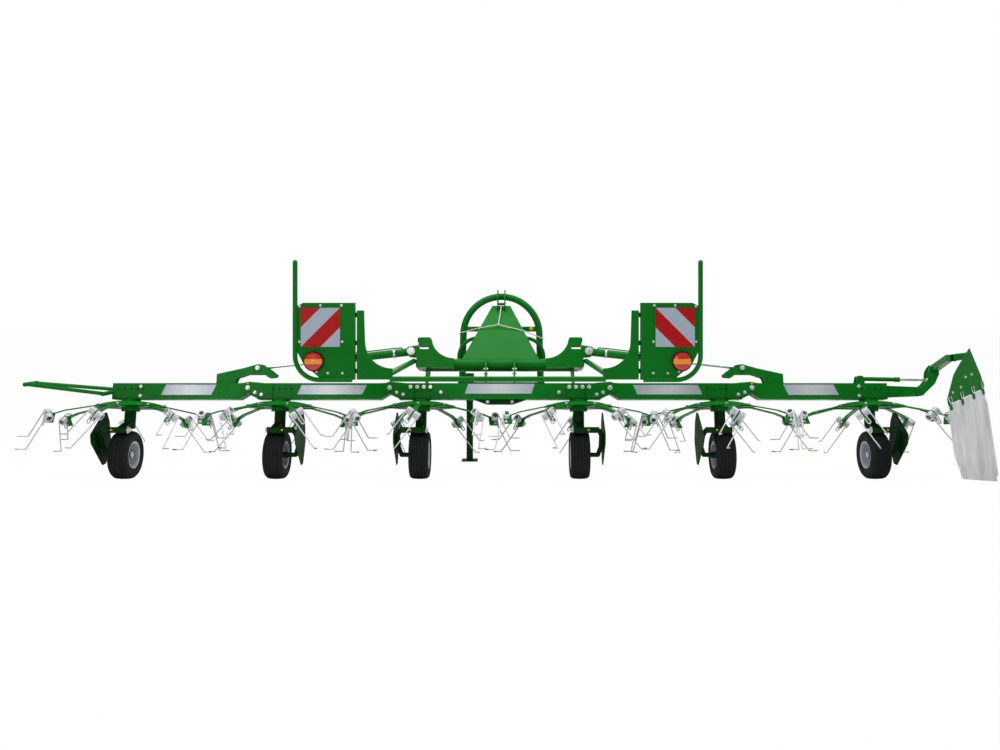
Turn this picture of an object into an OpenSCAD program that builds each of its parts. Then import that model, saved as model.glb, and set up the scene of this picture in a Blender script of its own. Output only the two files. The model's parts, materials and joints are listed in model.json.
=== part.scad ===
// Six-rotor hay tedder for a tractor's three-point hitch, unfolded as it works.
// +X is the machine's right seen from behind, +Y points to the tractor, +Z is up.
// The origin is on the ground under the middle of the machine.

/* [Rotors] */
// Distance of the two middle rotors from the centre plane
center_rotor_x = 675; // [665:5:700]
// Distance of the inner wing rotors from the centre plane
inner_rotor_x = 1885; // [1870:5:1930]
// Distance of the outer wing rotors from the centre plane
outer_rotor_x = 3170; // [3150:5:3220]
// Distance from a rotor's axis out to the wing hinge beyond it
hinge_offset = 265; // [255:5:280]
// Number of tine arms on each rotor
arm_count = 7; // [6:1:8]
// Radius of the pressed rotor disc
disc_r = 300; // [280:5:320]
// Height of the disc's crown
disc_crown = 44; // [36:1:52]
// Sheet thickness of the disc
disc_t = 6; // [4:0.5:8]
// Radius at which a tine's coils sit
coil_r_pos = 640; // [620:5:650]
// Depth of the coils below the beam's middle
coil_drop = 225; // [215:5:235]
// Width of a tine arm's flat bar
arm_w = 42; // [36:1:48]
// Thickness of a tine arm's flat bar
arm_t = 11; // [9:0.5:12]

/* [Tines] */
// Diameter of the sprung tine wire
wire_d = 10; // [9:0.5:11]
// Outer diameter of a tine's coil
coil_d = 62; // [56:1:66]
// Number of turns in each coil
coil_turns = 5; // [4:1:6]
// Length of the lower leg of a tine
long_leg = 318; // [300:2:325]
// Length of the upper leg of a tine
short_leg = 258; // [240:2:270]
// Length of the hooked tip of a leg
hook_len = 82; // [70:2:90]
// Slope of the legs below the ground plane as they trail
leg_slope = 56; // [52:1:60]
// Outward lean of the legs
leg_lean = 17; // [14:1:20]

/* [Beams] */
// Height of the beam's middle above the ground
beam_z = 725; // [720:1:740]
// Height of a beam's box section
beam_h = 138; // [130:2:144]
// Depth of a beam's box section
beam_d = 130; // [122:2:136]
// Forward tilt of the beams and rotors
tilt = 10; // [8:0.5:11]
// Height of a wing hinge above the beam's middle
hinge_w = 28; // [22:1:32]
// Clear length of beam on each side of a wing hinge
hinge_gap = 78; // [74:1:90]
// Radius of the rounded hinge ears
ear_r = 52; // [46:1:58]
// Thickness of a hinge ear
ear_t = 14; // [12:1:16]
// Diameter of a wing hinge pin
hinge_pin_d = 40; // [36:1:44]

/* [Wheels] */
// Outer diameter of a tyre
tyre_d = 405; // [396:1:412]
// Width of a tyre
tyre_w = 165; // [155:1:172]
// Diameter of the rim seat
rim_d = 206; // [200:1:212]
// Distance of the wheel axles behind the beam's middle
wheel_back = 130; // [120:2:140]
// Sideways distance from a wheel's middle to its guard plate
guard_x = 200; // [195:1:206]
// Diameter of a wheel's stub axle
axle_d = 35; // [32:1:40]

/* [Headstock] */
// Distance of the hitch from the beam's middle
hitch_y = 900; // [880:5:930]
// Middle height of the hoop's top
hoop_top = 1560; // [1550:5:1590]
// Bend radius of the hoop
hoop_r = 365; // [350:5:375]
// Diameter of the hoop's tube
hoop_d = 64; // [58:1:70]
// Height of the lower link pins
lower_pin_z = 700; // [690:5:720]
// Distance between the lower link shoulders
lower_span = 825; // [815:1:835]
// Diameter of the lower link pins
lower_pin_d = 28; // [26:0.5:30]
// Diameter of the top link pin's bore
top_bore_d = 25.6; // [25:0.1:26.5]
// Distance between the top link plates
top_gap = 56; // [52:1:60]

/* [Lamp carriers] */
// Distance of the lamp carriers behind the beam's middle
carrier_back = 1050; // [1040:5:1070]
// Half length of the rear cross tube
rear_tube_x = 785; // [780:5:800]
// Width of a lamp panel
panel_w = 445; // [430:5:460]
// Top of the lamp guard tube
guard_top = 1800; // [1780:5:1820]
// Side of a square warning board
board_w = 292; // [280:2:300]
// Diameter of a rear lamp
lamp_d = 136; // [124:2:142]

/* [Fold cylinders] */
// Sideways place of the cylinder's base pin
base_x = 768; // [760:2:776]
// Height of the base pin above the beam's middle
base_w = 348; // [342:2:356]
// Place of the rod's eye inboard of the outer hinge
eye_in = 64; // [58:2:70]
// Height of the rod's eye above the outer hinge
eye_up = 175; // [168:2:182]
// Barrel diameter of a fold cylinder
barrel_d = 68; // [62:1:72]
// Rod diameter of a fold cylinder
rod_d = 28; // [25:1:32]
// Length of a fold cylinder's barrel from its base pin
barrel_l = 640; // [625:5:655]
// Diameter of a cylinder's pins
cyl_pin_d = 30; // [28:1:32]

/* [Ends] */
// Length of the left guard bar beyond its root
bar_len = 716; // [680:4:750]
// Tube diameter of the left guard bar
bar_d = 32; // [28:1:36]
// Deflector pivot's distance beyond the right wing's end
deflect_x = 307; // [295:2:325]
// Length of the deflector curtain along its top
curtain_w = 633; // [600:5:650]
// Height of the deflector curtain
curtain_h = 640; // [600:5:645]

/* [Hidden] */
$fn = 40;

// Paints and finishes
paint = [0.03, 0.36, 0.10];
dark_paint = [0.02, 0.16, 0.06];
silver = [0.72, 0.73, 0.74];
steel = [0.6, 0.6, 0.62];
black = [0.04, 0.04, 0.04];

// Running clearances: round fits, and flat faces that pass each other
fit = 0.1;
side_fit = 0.5;

// Whole-machine places
beam_y = 47;
hinge_a = center_rotor_x + hinge_offset;
hinge_b = inner_rotor_x + hinge_offset;
rotor_x = [-outer_rotor_x, -inner_rotor_x, -center_rotor_x, center_rotor_x, inner_rotor_x, outer_rotor_x];
axle_z = tyre_d / 2;
axle_y = beam_y - wheel_back;

// Rotor build-up below the beam
neck_r = 78;
neck_drop = beam_h / 2 + 15;
disc_top = neck_drop + side_fit;
disc_rim = disc_top + disc_crown;
hub_low = disc_rim + 40;
hub_half = 34;
bead_in = 18;
column_d = 60;
column_len = 300;
pitch = 360 / arm_count;
odd_phase = -90;

// Beam ends and hinge pieces
beam_top = beam_h / 2;
outer_end = outer_rotor_x + 130;
knuckle_r = ear_r - 5;
ear_len = 210;
knuckle_half = beam_d / 2 - side_fit;
pin_head = 8;

// Cross tube and the blocks at its ends
cross_d = 112;
cross_v = 210;
cross_w = 255;
block_in = 625;
block_out = 720;
bracket_gap = 76;
bracket_t = 12;
lever_gap = 64;

// Headstock places
hitch_at = beam_y + hitch_y;
bar_h = 80;
hoop_foot = lower_span / 2 - hoop_d / 2 - 3;
hoop_mid = hoop_top - hoop_r;
lug_t = 12;
arm_x = 220;
stand_off = 80;
stand_x = -arm_x - stand_off;
stand_tube = 60;
stand_wall = 8;

// Lamp carrier places
carrier_y = beam_y - carrier_back;
sheet_t = 6;
tube_d = 40;
tube_z = 911;
gusset_w = 267;
gusset_out = rear_tube_x + gusset_w;
gusset_top = 1423;
buffer_l = 15;
panel_in = gusset_out + buffer_l;
panel_out = panel_in + panel_w;
panel_top = 1480;
guard_d = 36;
guard_bend = 180;
flange_w = 45;
board_x = panel_out - 190;
board_z = 1297;
lamp_x = panel_out - 141;
lamp_z = 1043;
buffer_z = [970, 1080, 1180, 1390];

// Deflector frame: the panel's line starts here and runs forward and out
pivot_x = outer_end + deflect_x;
panel_x = pivot_x - 215;
panel_y = beam_y - 985;
panel_turn = 40.5;
curtain_lean = 8;
curtain_t = 4;
curtain_top = 705;
edge_rise = 95;
edge_slope = atan2(edge_rise, curtain_w);
curtain_l = norm([curtain_w, edge_rise]);
pivot_web = 62;
pivot_d = 26;
small_pin_d = 20;
small_rod_d = 20;
small_barrel_d = 36;
small_barrel_l = 350;
deflect_w = 0;
deflect_eye = [93, 100];
deflect_base = [outer_end - 200, beam_top + 43];
deflect_span = [pivot_x + deflect_eye.x, deflect_w + deflect_eye.y] - deflect_base;

// Fold cylinder from its base pin to the lever's eye
eye_at = [hinge_b - eye_in, hinge_w + eye_up];
fold_span = eye_at - [base_x, base_w];

// Tine arm's places in the plane of the rotor's axis, and its end tab between the coils
arm_end = coil_r_pos - coil_d / 2 - 6;
arm_path = [[72, -disc_rim - 5], [disc_r, -disc_rim - 5], [520, -disc_rim - 52],
    [arm_end, -coil_drop + 14]];
tab_t = 11;
tab_l = 92;
coil_edge = 0.6;
coil_l = coil_turns * wire_d + 2 * coil_edge;

// Drive input: the bearing's length, the journal in it and the free end
input_l = 60;
journal_r = 22;
pto_r = 17.4;
pto_len = 92;
case_l = 200;

// Round bar between two points
module bar(a, b, d) {
    v = b - a;
    length = norm(v);
    translate(a) rotate([0, acos(v.z / length), atan2(v.y, v.x)]) cylinder(h = length, d = d);
}

// Bent round bar along points, with slightly proud balls at the bends
module bent_bar(points, d) {
    for (i = [0 : len(points) - 2]) bar(points[i], points[i + 1], d);
    for (i = [1 : len(points) - 2]) translate(points[i]) sphere(d = d + 0.4);
}

// Plate with its outline in X and Z, centred on y = 0
module plate_xz(t) {
    translate([0, t / 2, 0]) rotate([90, 0, 0]) linear_extrude(height = t) children();
}

// Plate with its outline in Y and Z, centred on x = 0
module plate_yz(t) {
    translate([-t / 2, 0, 0]) rotate([90, 0, 90]) linear_extrude(height = t) children();
}

// Pin or boss along Y, centred on y = 0
module pin_y(length, d) {
    rotate([90, 0, 0]) cylinder(h = length, d = d, center = true);
}

// Outline with its corners rounded by short arcs
function rounded(pts, r, n = 4) = [
    for (i = [0 : len(pts) - 1])
        let (p = pts[i],
             a = pts[(i + len(pts) - 1) % len(pts)] - p,
             b = pts[(i + 1) % len(pts)] - p,
             u = a / norm(a),
             v = b / norm(b),
             half = acos(u * v) / 2,
             c = p + (u + v) / norm(u + v) * r / sin(half),
             s = p + u * r / tan(half) - c,
             e = p + v * r / tan(half) - c,
             start = atan2(s.y, s.x),
             turn = atan2(e.y, e.x) - start,
             sweep = turn > 180 ? turn - 360 : turn < -180 ? turn + 360 : turn)
        each [for (k = [0 : n]) c + r * [cos(start + sweep * k / n), sin(start + sweep * k / n)]]
];

// Arc of an outline about a centre
function arc(c, r, from, to, n = 8) = [for (k = [0 : n]) let (a = from + (to - from) * k / n)
    c + r * [cos(a), sin(a)]];

// Distance to the beam's front face at a height
function beam_face(z) = beam_y + beam_d / 2 / cos(tilt) + (z - beam_z) * tan(tilt) + fit;

// Tilted frame of the beams: X along the beam, Z square to it
module tilted() {
    translate([0, beam_y, beam_z]) rotate([-tilt, 0, 0]) children();
}

// Right side as drawn, left side mirrored
module on_side(s) {
    if (s > 0) children();
    else mirror([1, 0, 0]) children();
}

// Box section along X
module beam_box(from, to) {
    translate([from, -beam_d / 2, -beam_h / 2]) cube([to - from, beam_d, beam_h]);
}

// Two rounded ears and the pin of a wing hinge, at the outer end of a beam
module hinge_fork(at) {
    for (f = [-1, 1]) translate([0, f * (beam_d + ear_t) / 2, 0]) plate_xz(ear_t) {
        translate([at, hinge_w]) circle(r = ear_r);
        polygon([[at - ear_len, -beam_h / 2 + 8], [at - hinge_gap, -beam_h / 2 + 8],
            [at, hinge_w - ear_r],
            [at, hinge_w + ear_r], [at - hinge_gap, hinge_w + ear_r - 6],
            [at - ear_len, beam_h / 2 - 8]]);
    }
    translate([at, 0, hinge_w]) pin_y(beam_d + 2 * ear_t + 2 * pin_head, hinge_pin_d);
}

// Bored knuckle of a wing hinge, with the web that runs into the beam beyond it
module hinge_knuckle(at) {
    difference() {
        union() {
            translate([at, 0, hinge_w]) pin_y(2 * knuckle_half, 2 * knuckle_r);
            plate_xz(2 * knuckle_half) polygon([[at, hinge_w - knuckle_r],
                [at + hinge_gap + 1, -beam_h / 2],
                [at + hinge_gap + 1, beam_h / 2], [at, hinge_w + knuckle_r]]);
        }
        translate([at, 0, hinge_w]) pin_y(beam_d + 2, hinge_pin_d + 2 * fit);
    }
}

// Round gear neck under a beam, above a rotor
module gear_neck(at) {
    translate([at, 0, -neck_drop]) cylinder(h = neck_drop - beam_h / 2 + 1, r = neck_r);
}

// Bolted gear cover on the rear and front of a beam, over a rotor
module gear_covers(at, cover_w) {
    cover_h = beam_h - 26;
    for (f = [-1, 1]) translate([at, f * (beam_d / 2 + 3), 0]) plate_xz(sheet_t)
        polygon(rounded([[-cover_w / 2, -cover_h / 2], [cover_w / 2, -cover_h / 2],
            [cover_w / 2, cover_h / 2], [-cover_w / 2, cover_h / 2]], 14));
}

module main_beam() color(paint) tilted() {
    beam_box(-hinge_a + hinge_gap, hinge_a - hinge_gap);
    for (s = [-1, 1]) on_side(s) {
        hinge_fork(hinge_a);
        gear_neck(center_rotor_x);
        gear_covers(center_rotor_x - 25, 150);
    }
}

// Angle gearbox in front of the beam, with its belly under it and the input bearing
module gearbox() color(dark_paint) {
    input_d = 90;
    case_w = 230;
    belly_back = 40;
    tilted() {
        translate([-case_w / 2, beam_d / 2, -beam_h / 2 - 18]) cube([case_w, case_l, beam_h + 28]);
        translate([0, beam_d / 2 + case_l, 0]) rotate([-90, 0, 0])
            difference() {
                cylinder(h = input_l, d = input_d);
                translate([0, 0, 10]) cylinder(h = input_l, r = journal_r + fit);
            }
        translate([0, -belly_back, -beam_h / 2 - 18]) rotate([-90, 0, 0])
            linear_extrude(height = beam_d / 2 + belly_back + 1)
                polygon([[-220, -18], [220, -18], [110, 20], [-110, 20]]);
    }
}

// Splined input stub that the tractor's drive shaft fits on
module pto_stub() color(steel) tilted()
    translate([0, beam_d / 2 + case_l, 0]) rotate([-90, 0, 0]) {
        translate([0, 0, 10 + side_fit]) cylinder(h = input_l - 10 - side_fit, r = journal_r);
        translate([0, 0, input_l - 1]) cylinder(h = pto_len + 1, r = pto_r);
    }

// One end block of the cross tube with the two plates that carry the fold cylinder
module cylinder_bracket() {
    inner = bracket_gap / 2;
    neck_in = 612;
    neck_w = 88;
    neck_top = 468;
    outline = concat([[400, 205], [block_out - 30, 205], [block_out - 5, 300], [base_x + 22, base_w - 42],
        [base_x + 40, base_w], [base_x + 32, base_w + 37], [neck_in + neck_w + 5, neck_top - 68],
        [neck_in + neck_w, neck_top], [neck_in, neck_top]],
        arc([395, 490], 205, -8, -90));
    for (f = [-1, 1]) translate([0, f * (inner + bracket_t / 2), 0]) difference() {
        plate_xz(bracket_t) polygon(outline);
        translate([0, bracket_t, 0]) plate_xz(4 * bracket_t) {
            translate([base_x - 150, base_w + 18]) square([86, 28]);
        }
    }
    translate([base_x, 0, base_w]) pin_y(bracket_gap + 2 * bracket_t + 2 * pin_head, cyl_pin_d);
    translate([base_x, -inner - bracket_t - 2, base_w]) pin_y(5, cyl_pin_d + 26);
    translate([block_in, -inner - bracket_t, 205])
        cube([block_out - block_in, cross_v + inner + bracket_t, 95]);
    translate([neck_in, -inner - bracket_t, neck_top - 28]) cube([neck_w, 2 * inner + 2 * bracket_t, 12]);
}

module cross_tube() color(paint) tilted() {
    upright_t = 14;
    translate([0, cross_v, cross_w]) rotate([0, 90, 0])
        cylinder(h = 2 * block_out - 60, d = cross_d, center = true);
    for (s = [-1, 1]) on_side(s) {
        cylinder_bracket();
        for (u = [125, block_in + 8]) translate([u, 0, 0]) plate_yz(upright_t)
            polygon([[-beam_d / 2 + 10, beam_top], [beam_d / 2, beam_top], [cross_v + 66, cross_w - 74],
                [cross_v + 66, cross_w - 10], [cross_v - 10, cross_w + 66], [cross_v - 72, cross_w + 66],
                [-beam_d / 2 + 10, beam_top + 70]]);
    }
}

// Hoop, hose rail, lower arch, cross bar with the link pins, and the arms back to the beam
module headstock() color(paint) {
    arm_width = 60;
    arm_low = lower_pin_z - 35;
    arm_high = lower_pin_z + 35;
    rail_z = 1250;
    arch_z = 1165;
    arch_r = 180;
    arch_d = 35;
    arch_x = 405;
    arch_foot = 900;
    // Hoop: half ring on two legs
    translate([0, hitch_at, hoop_mid]) rotate([90, 0, 0]) rotate_extrude(angle = 180)
        translate([hoop_r, 0]) circle(d = hoop_d);
    for (s = [-1, 1]) on_side(s) {
        bar([hoop_r, hitch_at, hoop_mid], [hoop_foot, hitch_at, lower_pin_z], hoop_d);
        translate([hoop_r, hitch_at, hoop_mid]) sphere(d = hoop_d + 0.4);
        // Link lug with its pin
        translate([lower_span / 2 - 10, hitch_at + 10, lower_pin_z]) plate_yz(20)
            polygon(rounded([[-110, -70], [40, -70], [62, 0], [40, 70], [-110, 70]], 18));
        translate([lower_span / 2 - 12, hitch_at + 10, lower_pin_z]) rotate([0, 90, 0])
            cylinder(h = 112, d = lower_pin_d);
        // Arm back to the main beam
        translate([arm_x, 0, 0]) plate_yz(arm_width) polygon([[beam_face(arm_low), arm_low],
            [hitch_at, arm_low],
            [hitch_at, arm_high], [beam_face(arm_high), arm_high]]);
        // Lower arch
        translate([arch_x - arch_r, hitch_at - 45, arch_z - arch_r]) rotate([90, 0, 0])
            rotate_extrude(angle = 90)
            translate([arch_r, 0]) circle(d = arch_d);
        bent_bar([[arch_x, hitch_at - 45, arch_z - arch_r], [arch_x, hitch_at - 45, arch_foot],
            [hoop_foot - 8, hitch_at, arch_foot - 20]], arch_d);
        for (p = [[arch_x, arch_z - arch_r], [arch_x - arch_r, arch_z]])
            translate([p.x, hitch_at - 45, p.y])
            sphere(d = arch_d + 0.4);
    }
    bar([-arch_x + arch_r, hitch_at - 45, arch_z], [arch_x - arch_r, hitch_at - 45, arch_z], arch_d);
    // Hose rail
    translate([-hoop_r, hitch_at - 20, rail_z - 24]) cube([2 * hoop_r, 40, 48]);
    // Cross bar
    translate([-lower_span / 2 + 19, hitch_at - bar_h / 2, lower_pin_z - bar_h / 2])
        cube([lower_span - 38, bar_h, bar_h]);
    // Sleeve of the parking stand
    translate([stand_x, hitch_at - bar_h / 2, 0]) difference() {
        translate([-stand_tube / 2 - stand_wall - side_fit, -stand_tube - 2 * stand_wall, lower_pin_z - 130])
            cube([stand_tube + 2 * stand_wall + 2 * side_fit, stand_tube + 2 * stand_wall + 1, 260]);
        translate([-stand_tube / 2 - side_fit, -stand_tube - stand_wall - side_fit, lower_pin_z - 140])
            cube([stand_tube + 2 * side_fit, stand_tube + 2 * side_fit, 280]);
    }
}

// Sloping mast plate from the cross tube up to the hoop, with the top link's two plates
module mast_plate() color(paint) {
    tube_y = beam_y + cross_v * cos(tilt) + cross_w * sin(tilt);
    tube_up = beam_z - cross_v * sin(tilt) + cross_w * cos(tilt);
    head_y = hitch_at - hoop_d / 2 - 4;
    head_z = 1470;
    slope = atan2(head_z - tube_up, head_y - tube_y);
    foot = cross_d / 2 + side_fit;
    run = norm([head_y - tube_y, head_z - tube_up]);
    top_z = 1590;
    translate([0, tube_y, tube_up]) rotate([slope, 0, 0]) translate([0, 0, -4]) linear_extrude(height = 8)
        polygon([[-350, foot], [350, foot], [330, foot + 60], [86, run], [-86, run], [-330, foot + 60]]);
    for (s = [-1, 1]) on_side(s) translate([(top_gap + lug_t) / 2, 0, 0]) difference() {
        plate_yz(lug_t) polygon(rounded([[head_y - 70, head_z - 20], [head_y - 1, head_z - 90],
            [head_y - 1, hoop_top - 60], [hitch_at + 70, top_z - 90], [hitch_at + 106, top_z - 40],
            [hitch_at + 96, top_z + 30], [hitch_at - 20, top_z + 36], [head_y - 60, head_z + 90]], 8));
        translate([0, hitch_at + 70, top_z - 10]) rotate([0, 90, 0])
            cylinder(h = 4 * lug_t, d = top_bore_d, center = true);
        translate([-(top_gap + lug_t) / 2, hitch_at, hoop_mid]) rotate([90, 0, 0]) rotate_extrude()
            translate([hoop_r, 0]) circle(d = hoop_d + 0.4);
    }
    bar([-top_gap / 2 - 2, head_y - 40, head_z + 20], [top_gap / 2 + 2, head_y - 40, head_z + 20], 24);
}

// Pull cord tied between the top link plates and both sides of the hoop
module pull_cord() color([0.9, 0.9, 0.88]) {
    cord_d = 9;
    knot_d = 21.6;
    top = [0, hitch_at - 76, 1466];
    knot = [-25, hitch_at - 280, 1297];
    left = [[-215, hitch_at - 298, 1262], [-394.5, hitch_at - 31, 1215]];
    right = [[225, hitch_at - 312, 1235], [396.5, hitch_at - 31, 1160]];
    bar(knot, top, cord_d);
    bent_bar(concat([knot], left), cord_d);
    bent_bar(concat([knot], right), cord_d);
    for (p = [knot, top, left[1], right[1]]) translate(p) sphere(d = knot_d);
}

// Rear tube, two curved brackets and the arms that carry them
module light_carrier() color(paint) {
    arm_d = 45;
    flange_t = 10;
    front_y = beam_y + 110;
    front_z = 985;
    rear_z = 950;
    lobe_top = 990;
    curve_r = gusset_w - 67;
    translate([0, carrier_y, tube_z]) rotate([0, 90, 0])
        cylinder(h = 2 * rear_tube_x + 40, d = tube_d, center = true);
    for (s = [-1, 1]) on_side(s) {
        translate([0, carrier_y, 0]) plate_xz(sheet_t) polygon(concat(
            [[rear_tube_x, tube_z - 4], [gusset_out, tube_z - 4], [gusset_out, gusset_top],
                [gusset_out - 55, gusset_top]],
            arc([rear_tube_x + 5, lobe_top + curve_r], curve_r, 0, -90), [[rear_tube_x, lobe_top]]));
        translate([gusset_out - sheet_t, carrier_y - sheet_t / 2, tube_z - 4])
            cube([sheet_t, flange_w, gusset_top - tube_z + 4]);
        bar([block_out + flange_t + arm_d / 2 - 2, front_y, front_z],
            [rear_tube_x + 22, carrier_y, rear_z], arm_d);
        translate([block_out, front_y - 70, front_z - 42]) cube([flange_t, 110, 56]);
    }
}

// Lamp panel with its bent guard tube and the flange that the buffers hold
module light_panels() color(paint) for (s = [-1, 1]) on_side(s) {
    low = 905;
    plate_t = 4;
    guard_in = panel_in + 20;
    translate([0, carrier_y, 0]) {
        plate_xz(plate_t) polygon([[panel_in, low], [panel_out - guard_bend - 20, low],
            [panel_out - 62, low + 118], [panel_out, low + guard_bend + 60], [panel_out, panel_top - 30],
            [panel_out - 60, panel_top], [panel_in, panel_top]]);
        translate([panel_in, -plate_t / 2, low]) cube([plate_t, flange_w, panel_top - low]);
        bar([panel_out, 0, low + guard_bend], [panel_out, 0, guard_top - guard_d / 2], guard_d);
        translate([panel_out, 0, guard_top - guard_d / 2]) sphere(d = guard_d - 0.02);
        translate([panel_out - guard_bend, 0, low + guard_bend]) rotate([90, 0, 0])
            rotate_extrude(angle = -90) translate([guard_bend, 0]) circle(d = guard_d);
        bar([guard_in, 0, low], [panel_out - guard_bend, 0, low], guard_d);
    }
}

module warning_boards() color([0.85, 0.1, 0.08]) for (s = [-1, 1]) on_side(s)
    translate([board_x, carrier_y - 2 - 4, board_z]) plate_xz(8)
        polygon(rounded([[-board_w / 2, -board_w / 2], [board_w / 2, -board_w / 2],
            [board_w / 2, board_w / 2], [-board_w / 2, board_w / 2]], 8));

module rear_lamps() color([0.7, 0.05, 0.04]) for (s = [-1, 1]) on_side(s)
    translate([lamp_x, carrier_y - 2, lamp_z]) rotate([90, 0, 0]) rotate_extrude()
        polygon([[0, 0], [lamp_d / 2, 0], [lamp_d / 2, 26], [lamp_d / 2 - 5, 36],
            [lamp_d / 2 - 24, 44], [0, 48]]);

module rubber_buffers() color(black) for (s = [-1, 1]) on_side(s)
    for (z = buffer_z) translate([gusset_out, carrier_y + 22, z]) rotate([0, 90, 0])
        cylinder(h = buffer_l, d = 36);

// Fixed column through the rotor, cross tube, cranked axle arm and guard plate of one wheel
module wheel_leg(at, g) {
    cross_y = axle_y - 92;
    cross_z = axle_z + 222;
    tube = 50;
    crank = 38;
    foot = beam_z - column_len * cos(tilt);
    tilted() translate([at, 0, -column_len]) {
        cylinder(h = column_len - neck_drop, d = column_d);
        translate([0, 0, -14]) cylinder(h = column_len + 14 - hub_low - side_fit, d = column_d + 34);
    }
    translate([at, 0, 0]) on_side(g) {
        plate_yz(64) polygon([[beam_y - 108, foot + 40], [beam_y - 30, foot + 40],
            [beam_y - 46, foot + 4],
            [cross_y + 22, cross_z - 14], [cross_y - 22, cross_z - 22], [cross_y - 24, cross_z + 20]]);
        bar([-58, cross_y, cross_z], [guard_x - 40, cross_y, cross_z], tube);
        bent_bar([[guard_x - 44, cross_y, cross_z], [guard_x - 22, cross_y + 16, cross_z - 46],
            [guard_x - 20, axle_y - 14, axle_z + 70], [guard_x - 44, axle_y, axle_z],
            [tyre_w / 2 + 10, axle_y, axle_z]], crank);
        translate([-hub_half - 10, axle_y, axle_z]) rotate([0, 90, 0])
            cylinder(h = tyre_w / 2 + 30 + hub_half, d = axle_d);
        for (x = [-hub_half - side_fit - 12, hub_half + side_fit]) translate([x, axle_y, axle_z])
            rotate([0, 90, 0])
            cylinder(h = x < 0 ? 12 : tyre_w / 2 + 12 - x, d = axle_d + 16);
        translate([guard_x, axle_y, axle_z]) plate_yz(sheet_t)
            polygon(rounded([[20, 350], [90, 350], [140, 265], [165, 95], [70, -85], [5, -90],
                [-205, 125],
                [-215, 200]], 22));
        bar([guard_x - 20, axle_y - 20, axle_z + 90], [guard_x, axle_y - 20, axle_z + 90], 46);
    }
}

module center_wheel_legs() color(dark_paint) {
    wheel_leg(rotor_x[2], -1);
    wheel_leg(rotor_x[3], 1);
}

module inner_wheel_leg(s) color(dark_paint) wheel_leg(s * inner_rotor_x, -s);

module outer_wheel_leg(s) color(dark_paint) wheel_leg(s * outer_rotor_x, s);

module parking_stand() color(dark_paint)
    translate([stand_x, hitch_at - bar_h / 2 - stand_tube / 2 - stand_wall, 0]) {
    foot_w = 150;
    translate([-foot_w / 2, -foot_w / 2, 0]) cube([foot_w, foot_w, 8]);
    translate([-stand_tube / 2, -stand_tube / 2, 7]) cube([stand_tube, stand_tube, lower_pin_z + 53]);
}

module inner_wing(s) color(paint) tilted() on_side(s) {
    hinge_knuckle(hinge_a);
    beam_box(hinge_a + hinge_gap, hinge_b - hinge_gap);
    hinge_fork(hinge_b);
    gear_neck(inner_rotor_x);
    gear_covers(inner_rotor_x + 10, 240);
}

// Hooked lever over the outer hinge that the fold cylinder pulls
module fold_lever() {
    lever_t = 12;
    outline = rounded([[285, beam_top - 30], [285, 150], [60, 200], [-64, 235], [-120, 228], [-232, 142],
        [-215, 124], [-160, 118], [-128, 148], [20, 148], [110, 118], [140, beam_top - 30]], 9);
    for (f = [-1, 1]) translate([hinge_b, f * (lever_gap + lever_t) / 2, 0]) {
        plate_xz(lever_t) polygon(outline);
        translate([-eye_in, f * lever_t / 2, hinge_w + eye_up]) pin_y(lever_t, cyl_pin_d + 20);
    }
    translate([hinge_b + 210, 0, 140]) pin_y(lever_gap + lever_t, 30);
}

module outer_wing(s) color(paint) tilted() on_side(s) {
    hinge_knuckle(hinge_b);
    beam_box(hinge_b + hinge_gap, outer_end);
    gear_neck(outer_rotor_x);
    gear_covers(outer_rotor_x + 5, 240);
    fold_lever();
}

// Bent bar that guards the left end
module guard_bar() color(paint) tilted() {
    end_t = 12;
    rail_d = bar_d + 4;
    root_x = -outer_end - end_t - rail_d / 2 + 4;
    root = [root_x, 190, 0];
    tip = [root_x - bar_len, 70, 70];
    translate([-outer_end - end_t / 2, 0, 0]) plate_yz(end_t) square([beam_d, beam_h], center = true);
    rotate([tilt, 0, 0]) {
        for (p = [root, tip]) bar([p.x, -p.y - bar_d, p.z], [p.x, p.y + bar_d, p.z], rail_d);
        for (f = [-1, 1]) bar([root.x, f * root.y, root.z], [tip.x, f * tip.y, tip.z], bar_d);
    }
}

// Fixed bracket at the right end: the deflector's pivot and the small cylinder's base
module deflector_bracket() color(paint) tilted() {
    base = deflect_base;
    translate([outer_end + 6, 0, 0]) plate_yz(12) square([beam_d, beam_h], center = true);
    plate_xz(pivot_web) {
        polygon([[outer_end + 11, -50], [pivot_x, deflect_w - 38], [pivot_x, deflect_w + 38],
            [outer_end + 11, 50]]);
        translate([pivot_x, deflect_w]) circle(r = 38);
    }
    translate([pivot_x, 0, deflect_w]) pin_y(pivot_web + 44, pivot_d);
    for (f = [-1, 1]) translate([base.x, f * 30, 0]) plate_xz(10)
        polygon(rounded([[-40, beam_top], [40, beam_top], [24, base.y + 24], [-24, base.y + 24]], 10));
    translate([base.x, 0, base.y]) pin_y(76, small_pin_d);
}

// Leaning plane of the panel and its curtain: X along the panel's lower edge, Z up the panel
module panel_plane() {
    translate([panel_x, panel_y, curtain_top]) rotate([0, 0, panel_turn]) rotate([0, -edge_slope, 0])
        rotate([-curtain_lean, 0, 0]) children();
}

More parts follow.
